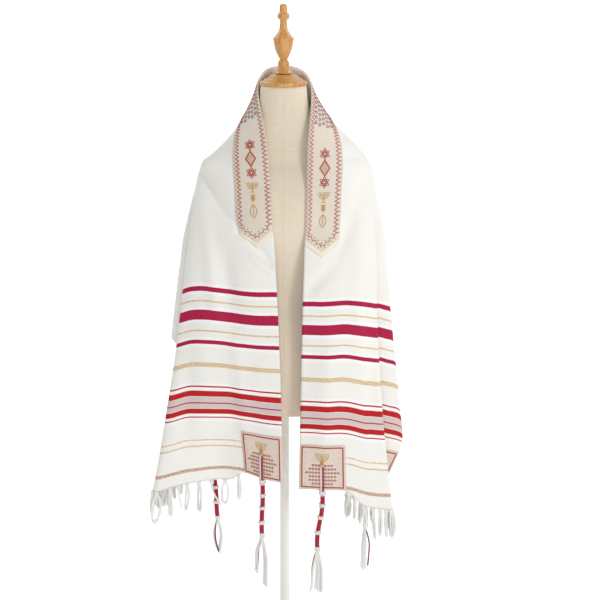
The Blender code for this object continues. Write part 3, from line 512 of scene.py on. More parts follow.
class Half:
    """One half of the shawl: its points from places across and along the cut."""

    def __init__(self, side, yoke, hangs):
        self.sign = side
        self.yoke = yoke
        self.hangs = hangs
        self.drops = np.linspace(0, LONGEST_DROP, 97)
        self.rails = np.array([self.rail(hang) for hang in hangs])
        self.reaches = np.array([self.lateral(hang) for hang in hangs])

    def yoke_points(self, across, along):
        """Points of the yoke, on the smooth surface through its table."""
        rows = lagrange([row.along for row in self.yoke], along)
        columns = lagrange([TIP_ACROSS * i / 3 for i in range(4)], across)
        net = np.array([row[1:] for row in self.yoke])
        return np.einsum("rn,cn,rcx->nx", rows, columns, net)

    def rail(self, hang):
        """A rail's points at every drop, as long as the cut makes it."""
        across, along = {
            "front": (hang.place, TIP_ALONG),
            "tip": (TIP_ACROSS, TIP_ALONG),
            "back": (TIP_ACROSS, hang.place),
        }[hang.rim]
        start = self.yoke_points(np.array([across]), np.array([along]))[0]
        flare = np.array([TIP_FLARE if hang.rim == "tip" else 0, 0])
        plan = np.array([start[:2] + flare, (hang.x_mid, hang.y_mid), (hang.x_low, hang.y_low)])
        path = lagrange([0, MID_DROP, LOW_DROP], self.drops).T @ plan
        path -= flare * np.exp(-self.drops / FLARE_DROP)[:, None]
        step = self.drops[1]
        aside = np.linalg.norm(np.diff(path, axis=0), axis=1)
        fall = np.sqrt(np.maximum((hang.reach * step) ** 2 - aside**2, (0.3 * step) ** 2))
        height = start[2] - np.concatenate([[0], np.cumsum(fall)])
        return np.column_stack([path, height])

    def lateral(self, hang):
        """A rail's distance round the yoke's rim from the shoulder's tip, at every drop."""
        if hang.rim == "front":
            return np.full_like(self.drops, hang.place - TIP_ACROSS)
        if hang.rim == "tip":
            return self.drops * math.radians(hang.place)
        return self.drops * math.pi / 2 + TIP_ALONG - hang.place

    def hanging_points(self, across, along):
        """Points below the yoke's rim, between the rails on either side of them."""
        past_across = np.maximum(across - TIP_ACROSS, 0)
        past_along = np.maximum(along - TIP_ALONG, 0)
        drop = np.hypot(past_across, past_along)
        angle = np.arctan2(past_across, past_along)
        round_rim = np.minimum(across - TIP_ACROSS, 0) + drop * angle + np.maximum(TIP_ALONG - along, 0)
        at = np.clip(drop / self.drops[1], 0, len(self.drops) - 1.001)
        low = at.astype(int)
        part = at - low
        places = self.reaches[:, low] * (1 - part) + self.reaches[:, low + 1] * part
        rails = self.rails[:, low] * (1 - part)[:, None] + self.rails[:, low + 1] * part[:, None]
        count = len(self.hangs)
        before = [max(i - 1, 0) for i in range(count)]
        after = [min(i + 1, count - 1) for i in range(count)]
        gaps = np.maximum(places[after] - places[before], 1e-6)
        tangents = (rails[after] - rails[before]) / gaps[..., None]
        found = np.zeros((len(across), 3))
        for i in range(count - 1):
            here = (round_rim >= places[i] - 1e-9) if i else np.ones(len(across), bool)
            step = np.maximum(places[i + 1] - places[i], 1e-6)
            t = np.clip((round_rim - places[i]) / step, 0, 1)[:, None]
            leave, arrive = tangents[i] * step[:, None], tangents[i + 1] * step[:, None]
            between = hermite(rails[i], rails[i + 1], leave, arrive, t)
            found[here] = between[here]
        return found

    def points(self, across, along):
        """Points of the cloth's middle surface, in the object's own place."""
        found = self.hanging_points(across, along)
        on_yoke = (across < TIP_ACROSS) & (along < TIP_ALONG)
        found[on_yoke] = self.yoke_points(across[on_yoke], along[on_yoke])
        found[:, 0] *= self.sign
        return found


def unit(vectors):
    """Vectors of length one."""
    return vectors / np.maximum(np.linalg.norm(vectors, axis=-1, keepdims=True), 1e-12)


class Cloth:
    """The draped cloth's middle surface, and points and normals anywhere on it."""

    def __init__(self, crease_share):
        self.across = np.linspace(0, SHAWL_WIDTH, COLUMNS + 1)
        self.along = np.linspace(-SHAWL_HALF_LENGTH, SHAWL_HALF_LENGTH, ROWS + 1)
        self.net = self.settled(self.hung())
        normals = self.net_normals()
        self.net = self.net + normals * (self.creases() * crease_share)[..., None]
        self.net = clear_of_form(self.net.reshape(-1, 3), FORM_CLEARANCE).reshape(self.net.shape)
        self.normals = self.net_normals()

    def hung(self):
        """The grid's points as the yoke and the rails give them."""
        along, across = np.meshgrid(self.along, self.across, indexing="ij")
        drawn = along + hem_drop(across, along) + DRAWN_RIGHT
        net = np.zeros(along.shape + (3,))
        for side, yoke, hangs in ((-1, LEFT_YOKE, LEFT_HANGS), (1, RIGHT_YOKE, RIGHT_HANGS)):
            half = Half(side, yoke, hangs)
            own = drawn >= 0 if side > 0 else drawn < 0
            net[own] = half.points(across[own], np.abs(drawn[own]))
        return net

    def settled(self, net):
        """The points eased over the yoke's rim, as cloth settles there."""
        drawn = np.abs(self.along + DRAWN_RIGHT)
        along, across = np.meshgrid(drawn, self.across, indexing="ij")
        past = np.hypot(np.maximum(across - TIP_ACROSS, 0), np.maximum(along - TIP_ALONG, 0))
        short = np.minimum(TIP_ACROSS - across, TIP_ALONG - along)
        near = np.maximum(past, short)[..., None] / SETTLED_BAND
        ease = np.exp(-(near**2))
        steps = ((0, self.along, SETTLED_ALONG), (1, self.across, SETTLED_ACROSS))
        for _ in range(SETTLING_ROUNDS):
            for axis, lines, reach in steps:
                strength = (reach / (lines[1] - lines[0])) ** 2 / SETTLING_ROUNDS
                moved = np.moveaxis(net, axis, 0)
                bend = moved[2:] - 2 * moved[1:-1] + moved[:-2]
                moved[1:-1] += bend * np.moveaxis(ease, axis, 0)[1:-1] * strength / 2
        return net

    def creases(self):
        """How far each point stands out of the cloth because of the creases."""
        along, across = np.meshgrid(self.along, self.across, indexing="ij")
        out = np.zeros_like(along)
        for crease in CREASES:
            run = np.array([crease.to_across - crease.across, crease.to_along - crease.along])
            aside = np.stack([across - crease.across, along - crease.along], axis=-1)
            part = np.clip(aside @ run / (run @ run), 0, 1)
            off = np.linalg.norm(aside - part[..., None] * run, axis=-1) / crease.width
            taper = np.sqrt(np.maximum(4 * part * (1 - part), 0))
            out += crease.depth * taper * np.exp(-(off**2))
        out += 0.0007 * np.sin(across * 58 + 3 * np.sin(along * 9)) * np.sin(along * 23 + across * 11)
        return out

    def net_normals(self):
        """Unit normals of the grid's points, away from the wearer."""
        down = np.gradient(self.net, axis=0)
        out = np.gradient(self.net, axis=1)
        return unit(np.cross(down, out))

    @staticmethod
    def weights(lines, places):
        """Index of the line before each place, and the weights of the four lines round it."""
        at = (places - lines[0]) / (lines[1] - lines[0])
        low = np.clip(np.floor(at), 0, len(lines) - 2).astype(int)
        t = at - low
        return low, np.stack([
            -0.5 * t**3 + t**2 - 0.5 * t,
            1.5 * t**3 - 2.5 * t**2 + 1,
            -1.5 * t**3 + 2 * t**2 + 0.5 * t,
            0.5 * t**3 - 0.5 * t**2,
        ])

    def at(self, across, along, lift=0.0):
        """Points of the cloth at places of the cut, lifted off it along its normal."""
        across, along = np.broadcast_arrays(np.asarray(across, float), np.asarray(along, float))
        column, over = self.weights(self.across, across)
        row, down = self.weights(self.along, along)
        found = []
        for field in (self.net, self.normals):
            wide = np.concatenate([2 * field[:1] - field[1:2], field, 2 * field[-1:] - field[-2:-1]])
            sides = (2 * wide[:, :1] - wide[:, 1:2], 2 * wide[:, -1:] - wide[:, -2:-1])
            wide = np.concatenate([sides[0], wide, sides[1]], 1)
            total = 0
            for j in range(4):
                for i in range(4):
                    total = total + wide[row + j, column + i] * (down[j] * over[i])[..., None]
            found.append(total)
        return found[0] + unit(found[1]) * np.asarray(lift, float)[..., None]

    def below_hem(self, across, side, lift, drop):
        """Points below a short end's hem: off the cloth's plane, and let down from its edge."""
        end = side * SHAWL_HALF_LENGTH
        edge = self.at(across, end, lift)
        inner = self.at(across, end - side * 0.02, lift)
        return edge + unit(edge - inner) * np.asarray(drop, float)[..., None]


class Signal:
    """A shader value. Its arithmetic adds Math nodes."""

    def __init__(self, tree, socket):
        self.tree = tree
        self.socket = socket

    def maths(self, operation, *others):
        """A Math node on this value and others."""
        return self.tree.node("ShaderNodeMath", {"operation": operation}, dict(enumerate((self, *others))))

    def part(self, output):
        """Another output of the node that this value comes from."""
        return Signal(self.tree, self.socket.node.outputs[output])

    def __add__(self, other):
        return self.maths("ADD", other)

    def __sub__(self, other):
        return self.maths("SUBTRACT", other)

    def __rsub__(self, other):
        return (self * -1) + other

    def __mul__(self, other):
        return self.maths("MULTIPLY", other)

    def __truediv__(self, other):
        return self.maths("DIVIDE", other)

    def __abs__(self):
        return self.maths("ABSOLUTE")

    __radd__ = __add__
    __rmul__ = __mul__

    def sine(self):
        """The sine of this value."""
        return self.maths("SINE")

    def above(self, level):
        """One where this value is above a level, or else none."""
        return self.maths("GREATER_THAN", level)

    def between(self, low, high):
        """From none at low to one at high, on a smooth curve."""
        inputs = {"Value": self, "From Min": low, "From Max": high}
        return self.tree.node("ShaderNodeMapRange", {"interpolation_type": "SMOOTHSTEP"}, inputs)


class Tree:
    """The nodes of one material."""

    def __init__(self, name):
        self.material = bpy.data.materials.new(name)
        self.material.use_nodes = True
        self.nodes = self.material.node_tree.nodes
        self.links = self.material.node_tree.links
        self.nodes.clear()

    def node(self, kind, settings=None, inputs=None, output=0):
        """A new node: its settings, then the values or links of its sockets."""
        node = self.nodes.new(kind)
        for name, value in (settings or {}).items():
            if name == "stops":
                self.set_stops(node.color_ramp, value)
            elif name == "interpolation":
                node.color_ramp.interpolation = value
            else:
                setattr(node, name, value)
        for name, value in (inputs or {}).items():
            socket = node.inputs[name]
            if isinstance(value, Signal):
                self.links.new(value.socket, socket)
            elif socket.type == "RGBA" and len(value) == 3:
                socket.default_value = (*value, 1)
            else:
                socket.default_value = value
        return Signal(self, node.outputs[output]) if node.outputs else None

    @staticmethod
    def set_stops(ramp, stops):
        """A colour ramp's stops, as (position, colour)."""
        while len(ramp.elements) < len(stops):
            ramp.elements.new(1.0)
        for element, (position, shade) in zip(ramp.elements, stops):
            element.position = position
            element.color = (*shade, 1)

    def mix(self, factor, first, second):
        """A colour between two."""
        return self.node("ShaderNodeMix", {"data_type": "RGBA"}, {0: factor, 6: first, 7: second}, 2)

    def place(self):
        """The point on the piece, in the object's own place."""
        return self.node("ShaderNodeTexCoord", output="Object")

    def cut(self):
        """The point on the cut."""
        return self.node("ShaderNodeUVMap", {"uv_map": "cut"})

    def stretched(self, vector, scale):
        """A point with its three places scaled."""
        return self.node("ShaderNodeMapping", None, {"Vector": vector, "Scale": scale})

    def noise(self, vector, scale, detail=2.0, roughness=0.5):
        """Uneven values round one half."""
        inputs = {"Vector": vector, "Scale": scale, "Detail": detail, "Roughness": roughness}
        return self.node("ShaderNodeTexNoise", None, inputs)

    def bump(self, height, distance, strength=1.0):
        """The normal of a low relief."""
        inputs = {"Height": height, "Distance": distance, "Strength": strength}
        return self.node("ShaderNodeBump", None, inputs)

    def finish(self, **inputs):
        """Join the surface's values to the material and return it."""
        named = {name.replace("_", " "): value for name, value in inputs.items()}
        surface = self.node("ShaderNodeBsdfPrincipled", None, named)
        self.node("ShaderNodeOutputMaterial", None, {"Surface": surface})
        return self.material


def striped_cloth(settings):
    """The shawl's woven cloth, with stripes at set distances from either hem."""
    tree = Tree("woven_stripes")
    cut = tree.cut()
    parts = tree.node("ShaderNodeSeparateXYZ", None, {"Vector": cut})
    across, along = parts, parts.part("Y")
    slub = tree.noise(tree.stretched(cut, (260.0, 30.0, 1.0)), 1.0, 3.0)
    wander = tree.noise(tree.stretched(cut, (45.0, 3.0, 1.0)), 1.0, 2.0)
    hem = SHAWL_HALF_LENGTH + HEM_DROP - abs(along) + (wander - 0.5) * 0.0012
    shades = {name: getattr(settings, name) for name in
              ("white", "satin", "crimson", "red", "gold", "pale_gold", "bronze", "twill")}
    whole, shine = None, None
    for low, high in STRIPE_RAMPS:
        stops, gloss = [(0.0, shades["white"])], [(0.0, (0, 0, 0))]
        for stripe in STRIPES:
            if low <= stripe.start < high:
                metal = stripe.colour in ("gold", "pale_gold", "bronze")
                bright = 1.0 if metal else 0.0 if stripe.colour == "twill" else 0.5
                start, end = ((place - low) / (high - low) for place in (stripe.start, stripe.end))
                if abs(stops[-1][0] - start) < 1e-6:
                    stops.pop()
                    gloss.pop()
                stops += [(start, shades[stripe.colour]), (end, shades["white"])]
                gloss += [(start, (bright,) * 3), (end, (0, 0, 0))]
        at = (hem - low) / (high - low)
        settled = {"stops": stops, "interpolation": "CONSTANT"}
        band = tree.node("ShaderNodeValToRGB", settled, {"Fac": at})
        settled = {"stops": gloss, "interpolation": "CONSTANT"}
        band_shine = tree.node("ShaderNodeValToRGB", settled, {"Fac": at})
        past = hem.above(low)
        whole = tree.mix(past, whole, band) if whole else band
        shine = tree.mix(past, shine, band_shine) if shine else band_shine
    bare = hem.above(0.48)
    whole = tree.mix(bare, whole, shades["white"])
    shine = tree.mix(bare, shine, (0, 0, 0))
    gloss = tree.node("ShaderNodeSeparateColor", None, {"Color": shine})
    warp = (across * (2 * math.pi / 0.0011)).sine()
    weft = (along * (2 * math.pi / 0.0013)).sine()
    twill = ((across + along) * (2 * math.pi / 0.0034)).sine()
    on_twill = hem.between(0.1830, 0.1838) * (1 - hem.between(0.2094, 0.2102))
    darker = slub * 0.08 + on_twill * twill.between(-0.2, 0.9) * 0.16
    shade = tree.mix(darker, whole, (0.46, 0.42, 0.42))
    # Painted glints: white specks of the satin colour on the metallic stripes stand for light glinting off
    # the metal thread.
    painted_glints = tree.noise(tree.stretched(cut, (420.0, 420.0, 1.0)), 1.0, 2.0).between(0.42, 0.62)
    shade = tree.mix(painted_glints * gloss.above(0.8) * 0.55, shade, shades["satin"])
    height = warp * weft * 0.5 + slub * 0.5 + on_twill * twill * 0.5
    return tree.finish(
        Base_Color=shade,
        Roughness=0.86 - gloss * 0.42 + slub * 0.06,
        Specular_IOR_Level=0.10,
        Sheen_Weight=0.02,
        Sheen_Roughness=0.5,
        Normal=tree.bump(height, 0.00025, 0.5),
    )


def satin(name, ground, beyond=None):
    """Trim satin: fine ribs across it, and a soft gloss."""
    tree = Tree(name)
    cut = tree.cut()
    parts = tree.node("ShaderNodeSeparateXYZ", None, {"Vector": cut})
    across, along = parts, parts.part("Y")
    slub = tree.noise(tree.stretched(cut, (60.0, 420.0, 1.0)), 1.0, 3.0)
    shade = tree.mix(slub * 0.16, ground, tuple(0.6 * c for c in ground))
    if beyond:
        inner = 1 - abs(across * (2 / COLLAR_WIDTH) - 1)
        tip = COLLAR_HALF_LENGTH - 0.013 + inner * COLLAR_POINT
        shade = tree.mix((abs(along) - tip).between(0.0, 0.004), shade, beyond)
    ribs = (along * (2 * math.pi / 0.0009)).sine()
    return tree.finish(
        Base_Color=shade,
        Roughness=0.52 + slub * 0.12,
        Sheen_Weight=0.2,
        Normal=tree.bump(ribs * 0.5 + slub, 0.00015, 0.5),
    )


def yarn(name, shade, depth=0.25, gloss=0.0):
    """Soft yarn, with painted shade in streaks between its fibres."""
    tree = Tree(name)
    place = tree.place()
    fibres = tree.noise(tree.stretched(place, (1800.0, 1800.0, 320.0)), 1.0, 2.0)
    return tree.finish(
        # Painted shade: the fibre noise darkens the colour, by up to the depth share, for shade between the
        # fibres.
        Base_Color=tree.mix(fibres * depth, shade, tuple(0.45 * c for c in shade)),
        Roughness=0.85 - gloss + fibres * 0.1,
        Sheen_Weight=0.3,
        Normal=tree.bump(fibres, 0.0003, 0.6),
    )


def linen(shade):
    """The dress form's cover: a plain weave, with a seam down the front and one at the neck."""
    tree = Tree("form_linen_weave")
    place = tree.place()
    parts = tree.node("ShaderNodeSeparateXYZ", None, {"Vector": place})
    x, y, z = parts, parts.part("Y"), parts.part("Z")
    upright = tree.noise(tree.stretched(place, (650.0, 650.0, 22.0)), 1.0, 3.0)
    level = tree.noise(tree.stretched(place, (22.0, 22.0, 650.0)), 1.0, 3.0)
    weave = upright * 0.6 + level * 0.4
    front = (1 - abs(x).between(0.0004, 0.0012)) * (1 - y.between(-0.02, 0.0))
    neck_line = z - 1.168 - x * x * 3.2
    neck = 1 - abs(neck_line).between(0.0005, 0.0014)
    seam = front.maths("MAXIMUM", neck)
    shade_here = tree.mix(weave.between(0.35, 0.75) * 0.35, shade, tuple(0.72 * c for c in shade))
    shade_here = tree.mix(seam * 0.35, shade_here, tuple(0.80 * c for c in shade))
    return tree.finish(
        Base_Color=shade_here,
        Roughness=0.9,
        Sheen_Weight=0.15,
        Normal=tree.bump(weave - seam * 1.2, 0.0004, 0.5),
    )


def wood(light, dark):
    """Turned and varnished wood, with its grain upright."""
    tree = Tree("turned_wood_grain")
    place = tree.place()
    grain = tree.noise(tree.stretched(place, (210.0, 210.0, 9.0)), 1.0, 5.0, 0.6)
    cloud = tree.noise(tree.stretched(place, (30.0, 30.0, 14.0)), 1.0, 2.0)
    mark = (grain * 0.7 + cloud * 0.5).between(0.42, 0.78)
    return tree.finish(
        Base_Color=tree.mix(mark, light, dark),
        Roughness=0.32 + grain * 0.12,
        Coat_Weight=0.35,
        Coat_Roughness=0.18,
        Normal=tree.bump(grain, 0.0002, 0.4),
    )


def painted(shade):
    """Satin paint on metal."""
    tree = Tree("stand_paint")
    speck = tree.noise(tree.place(), 900.0, 2.0)
    cloud = tree.noise(tree.place(), 14.0, 3.0)
    return tree.finish(
        Base_Color=tree.mix(cloud * 0.12, shade, tuple(0.85 * c for c in shade)),
        Roughness=0.36 + cloud * 0.1,
        Normal=tree.bump(speck, 0.00012, 0.4),
    )


def add_piece(name, mesh, material, slot):
    """Link a finished mesh as a piece that rides on the object's one body."""
    mesh.materials.clear()
    mesh.materials.append(material)
    mesh.polygons.foreach_set("use_smooth", [True] * len(mesh.polygons))
    mesh.name = name
    piece = bpy.data.objects.new(name, mesh)
    bpy.context.scene.collection.objects.link(piece)
    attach(piece, "root")
    return piece


def flat_cut(corner, far, squares, holes=()):
    """A flat rectangle of the cut, as a grid, with round holes for the tassels."""
    bm = bmesh.new()
    bmesh.ops.create_grid(bm, x_segments=squares[0], y_segments=squares[1], size=0.5)
    middle = Vector(((corner[0] + far[0]) / 2, (corner[1] + far[1]) / 2, 0))
    bmesh.ops.scale(bm, vec=(far[0] - corner[0], far[1] - corner[1], 1), verts=bm.verts)
    bmesh.ops.translate(bm, vec=middle, verts=bm.verts)
    for hole in holes:
        centre = Vector((*hole, 0))
        nearest = min(bm.verts, key=lambda vertex: (vertex.co - centre).length)
        ring = {vertex for face in nearest.link_faces for vertex in face.verts} - {nearest}
        for vertex in ring:
            vertex.co = centre + (vertex.co - nearest.co).normalized() * HOLE_RADIUS
        bmesh.ops.delete(bm, geom=[nearest], context="VERTS")
    bmesh.ops.reverse_faces(bm, faces=bm.faces)
    mesh = bpy.data.meshes.new("cut")
    bm.to_mesh(mesh)
    bm.free()
    return mesh


def drape(mesh, place):
    """Move a flat grid to its place, and keep where each point is on the cut."""
    flat = np.empty(len(mesh.vertices) * 3)
    mesh.vertices.foreach_get("co", flat)
    flat = flat.reshape(-1, 3)
    corners = np.empty(len(mesh.loops), int)
    mesh.loops.foreach_get("vertex_index", corners)
    cut = flat[:, :2] + np.column_stack([np.zeros(len(flat)), hem_drop(flat[:, 0], flat[:, 1])])
    layer = mesh.uv_layers.new(name="cut")
    layer.data.foreach_set("uv", cut[corners].ravel())
    mesh.vertices.foreach_set("co", place(flat[:, 0], flat[:, 1]).ravel())
    mesh.update()
    return mesh


def thicken(piece, thickness):
    """Give a draped sheet its thickness, evenly to both sides."""
    solid = piece.modifiers.new("Thickness", "SOLIDIFY")
    solid.thickness = thickness
    solid.offset = 0


def tassel_holes():
    """Each corner's hole on the cut."""
    return [(tassel.across, tassel.side * (SHAWL_HALF_LENGTH - HOLE_INSET)) for tassel in TASSELS.values()]


def make_shawl(cloth, settings):
    """The main cloth."""
    corner, far = (0, -SHAWL_HALF_LENGTH), (SHAWL_WIDTH, SHAWL_HALF_LENGTH)
    mesh = drape(flat_cut(corner, far, (COLUMNS, ROWS), tassel_holes()), cloth.at)
    piece = add_piece("shawl_cloth", mesh, striped_cloth(settings), "white_cloth")
    thicken(piece, settings.thickness)
    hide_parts("shawl")
    return piece


def trim_lift(off_edge):
    """How far a trim lies off the cloth: nearer where its edge is turned under and sewn."""
    return 0.00125 + 0.00045 * np.clip(off_edge / 0.003, 0, 1)


def make_band(cloth, settings):
    """The band along the neck edge, with a pointed end on either front."""
    end = COLLAR_HALF_LENGTH + COLLAR_POINT
    mesh = flat_cut((0, -end), (COLLAR_WIDTH, end), (18, 190))
    for vertex in mesh.vertices:
        inner = 1 - abs(2 * vertex.co.x / COLLAR_WIDTH - 1)
        reach = COLLAR_HALF_LENGTH + inner * COLLAR_POINT
        vertex.co.y *= reach / end

    def place(across, along):
        inner = np.minimum(across, COLLAR_WIDTH - across)
        return cloth.at(across, along, trim_lift(inner))

    piece = add_piece("neck_band", drape(mesh, place), satin("band_satin", tuple(settings.band),
                      tuple(settings.band_point)), "collar_satin")
    thicken(piece, settings.thickness)
    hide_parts("collar")
    return piece


def make_patches(cloth, settings):
    """A square patch on each corner, with a hole for the tassel."""
    material = satin("patch_satin_weave", tuple(settings.patch))
    pieces = []
    for name, tassel in TASSELS.items():
        start = 0.0 if tassel.across < SHAWL_WIDTH / 2 else SHAWL_WIDTH - PATCH_SIZE
        end = tassel.side * SHAWL_HALF_LENGTH
        low = min(end, end - tassel.side * PATCH_SIZE)
        hole = (tassel.across, end - tassel.side * HOLE_INSET)
        mesh = flat_cut((start, low), (start + PATCH_SIZE, low + PATCH_SIZE), (22, 22), [hole])

        def place(across, along, start=start, low=low):
            off_across = np.minimum(across - start, start + PATCH_SIZE - across)
            off_along = np.minimum(along - low, low + PATCH_SIZE - along)
            return cloth.at(across, along, trim_lift(np.minimum(off_across, off_along)))

        node = name.replace("tassel", "patch")
        piece = add_piece(node + "_satin", drape(mesh, place), material, "patch_satin")
        thicken(piece, settings.thickness)
        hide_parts(node)
        pieces.append(piece)
    return pieces


def yarn_mesh(lines, sides=6):
    """Closed tubes along lines of points, each line with its radius or radii."""
    curve = bpy.data.curves.new("yarn", "CURVE")
    curve.dimensions = "3D"
    curve.bevel_depth = 1.0
    curve.bevel_resolution = max(sides // 2 - 2, 0)
    curve.use_fill_caps = True
    for points, radius in lines:
        spline = curve.splines.new("POLY")
        spline.points.add(len(points) - 1)
        spline.points.foreach_set("co", np.column_stack([points, np.ones(len(points))]).ravel())
        spline.points.foreach_set("radius", np.broadcast_to(radius, len(points)).astype(float))
    holder = bpy.data.objects.new("yarn", curve)
    bpy.context.scene.collection.objects.link(holder)
    bpy.context.view_layer.update()
    mesh = bpy.data.meshes.new_from_object(holder.evaluated_get(bpy.context.evaluated_depsgraph_get()))
    bpy.data.objects.remove(holder)
    bpy.data.curves.remove(curve)
    bm = bmesh.new()
    bm.from_mesh(mesh)
    bmesh.ops.remove_doubles(bm, verts=bm.verts, dist=1e-6)
    bmesh.ops.recalc_face_normals(bm, faces=bm.faces)
    bm.to_mesh(mesh)
    bm.free()
    return mesh


def along_line(points, step):
    """A smooth line through points, with a point at every step."""
    points = np.asarray(points, float)
    runs = np.concatenate([[0], np.cumsum(np.linalg.norm(np.diff(points, axis=0), axis=1))])
    count = max(int(runs[-1] / step), 2)
    return smooth_table(runs, points, np.linspace(0, runs[-1], count + 1))


def plied(points, radius, pitch=0.0075, plies=2, phase=0.0):
    """Lines of the plies that twist round each other to make one yarn."""
    points = np.asarray(points, float)
    ahead = unit(np.gradient(points, axis=0))
    aside = unit(np.cross(ahead, unit(np.array([0.25, 1.0, 0.2]))))
    out = np.cross(ahead, aside)
    runs = np.concatenate([[0], np.cumsum(np.linalg.norm(np.diff(points, axis=0), axis=1))])
    lines = []
    for ply in range(plies):
        turn = phase + 2 * math.pi * (runs / pitch + ply / plies)
        swing = aside * np.cos(turn)[:, None] + out * np.sin(turn)[:, None]
        lines.append((points + swing * radius * 0.55, radius * 0.62))
    return lines


def six_point_star(centre, radius, turn=0.0):
    """Two triangles on the cut, as closed lines."""
    lines = []
    for start in (0, math.pi):
        corners = [start + turn + 2 * math.pi * k / 3 for k in range(4)]
        lines.append([(centre[0] + radius * math.sin(a), centre[1] + radius * math.cos(a)) for a in corners])
    return lines


def lozenge(centre, half_width, half_length):
    """A diamond on the cut, as a closed line."""
    u, v = centre
    return [(u, v - half_length), (u + half_width, v), (u, v + half_length), (u - half_width, v),
            (u, v - half_length)]


def lamp(centre, radius, down):
    """A seven-branched lamp: arms in half circles, a stem and a foot."""
    u, v = centre
    lines = []
    for arm in (1.0, 0.68, 0.36):
        turns = np.linspace(0, math.pi, 11)
        lines.append([(u - radius * arm * math.cos(a), v + down * radius * arm * math.sin(a)) for a in turns])
    lines.append([(u, v - down * 0.12 * radius), (u, v + down * 1.5 * radius)])
    foot = v + down * 1.55 * radius
    lines.append([(u - radius * 0.4, foot), (u + radius * 0.4, foot)])
    flames = [(u + radius * arm, v) for arm in (-1.0, -0.68, -0.36, 0, 0.36, 0.68, 1.0)]
    lines += [[(x, y - down * 0.05 * radius), (x, y - down * 0.26 * radius)] for x, y in flames]
    return lines


def leaf_sprig(centre, length, down):
    """A stalk with pairs of leaves."""
    u, v = centre
    lines = [[(u, v - down * length / 2), (u, v + down * length / 2)]]
    for step in (-0.28, 0.0, 0.28):
        for side in (-1, 1):
            root = (u, v + down * length * step)
            lines.append([
                root,
                (root[0] + side * 0.20 * length, root[1] - down * 0.06 * length),
                (root[0] + side * 0.32 * length, root[1] - down * 0.24 * length),
                (root[0] + side * 0.12 * length, root[1] - down * 0.14 * length),
                root,
            ])
    return lines


def zigzag(start, end, pitch, swing):
    """A zigzag between two places of the cut."""
    start, end = np.array(start, float), np.array(end, float)
    run = end - start
    length = float(np.hypot(*run))
    count = max(int(length / pitch) * 2, 2)
    aside = np.array([run[1], -run[0]]) / length
    return [tuple(start + run * k / count + aside * swing * (1 if k % 2 else -1)) for k in range(count + 1)]


def buds(start, end, pitch, aside):
    """Short stitches beside a line on the cut, one a pitch."""
    start, end = np.array(start, float), np.array(end, float)
    run = end - start
    count = max(int(np.hypot(*run) / pitch), 1)
    out = np.array([run[1], -run[0]]) / np.hypot(*run) * aside
    found = []
    for k in range(count):
        root = start + run * (k + 0.5) / count + out
        found.append([tuple(root - run / count * 0.12), tuple(root + run / count * 0.12 + out * 0.25)])
    return found


def pointed_leaf(centre, half_width, length, down):
    """A pointed leaf with its vein."""
    u, v = centre
    parts = np.linspace(-1, 1, 13)
    side = half_width * np.cos(parts * math.pi / 2) ** 0.8
    left = [(u - w, v + down * length * t / 2) for w, t in zip(side, parts)]
    right = [(u + w, v + down * length * t / 2) for w, t in zip(side, parts)]
    return [left, right, [(u, v - down * length * 0.5), (u, v + down * length * 0.28)]]


def band_stitches():
    """The neck band's embroidery, as (colour, line on the cut)."""
    middle = COLLAR_WIDTH / 2
    lines = []
    for down in (-1, 1):
        turn = down * (COLLAR_HALF_LENGTH - 0.020)
        point = (middle, down * (COLLAR_HALF_LENGTH + 0.004))
        for edge in (0.0095, COLLAR_WIDTH - 0.0105):
            start, corner = (edge, down * 0.004), (edge, turn)
            inward = -1 if (edge < middle) == (down > 0) else 1
            lines.append(("brick", zigzag(start, corner, 0.0092, 0.0048)))
            lines += [("brick", line) for line in buds(start, corner, 0.0092, inward * 0.0062)]
            lines.append(("brick", zigzag(corner, point, 0.0105, 0.0024)))
            for aside in (-0.0055, 0.0050):
                lines += [("brick", line) for line in buds(corner, point, 0.0085, aside)]
        for place in (0.252, 0.314):
            for radius in (0.0128, 0.0062):
                lines += [("brick", line) for line in six_point_star((middle, down * place), radius)]
        for part in (1.0, 0.84):
            lines.append(("orange", lozenge((middle, down * 0.283), 0.0125 * part, 0.0185 * part)))
        for part in np.arange(0.66, 0.05, -0.10):
            lines.append(("white", lozenge((middle, down * 0.283), 0.0125 * part, 0.0185 * part)))
        lines += [("amber", line) for line in lamp((middle, down * 0.338), 0.0122, down)]
        lines += [("amber", line) for line in leaf_sprig((middle, down * 0.371), 0.016, down)]
        lines += [("amber", line) for line in pointed_leaf((middle, down * 0.398), 0.0075, 0.028, down)]
        for row in range(9):
            v = down * (0.082 + row * 0.0125)
            for column in range(5):
                u = middle + (column - 2) * 0.0115
                lines.append(("maroon", lozenge((u, v + down * 0.0045 * (column % 2)), 0.0040, 0.0040)))
    for k in range(-6, 7):
        lines += [("maroon", line) for line in six_point_star((middle, k * 0.0125), 0.0052, (k % 2) * 0.5)]
    return lines


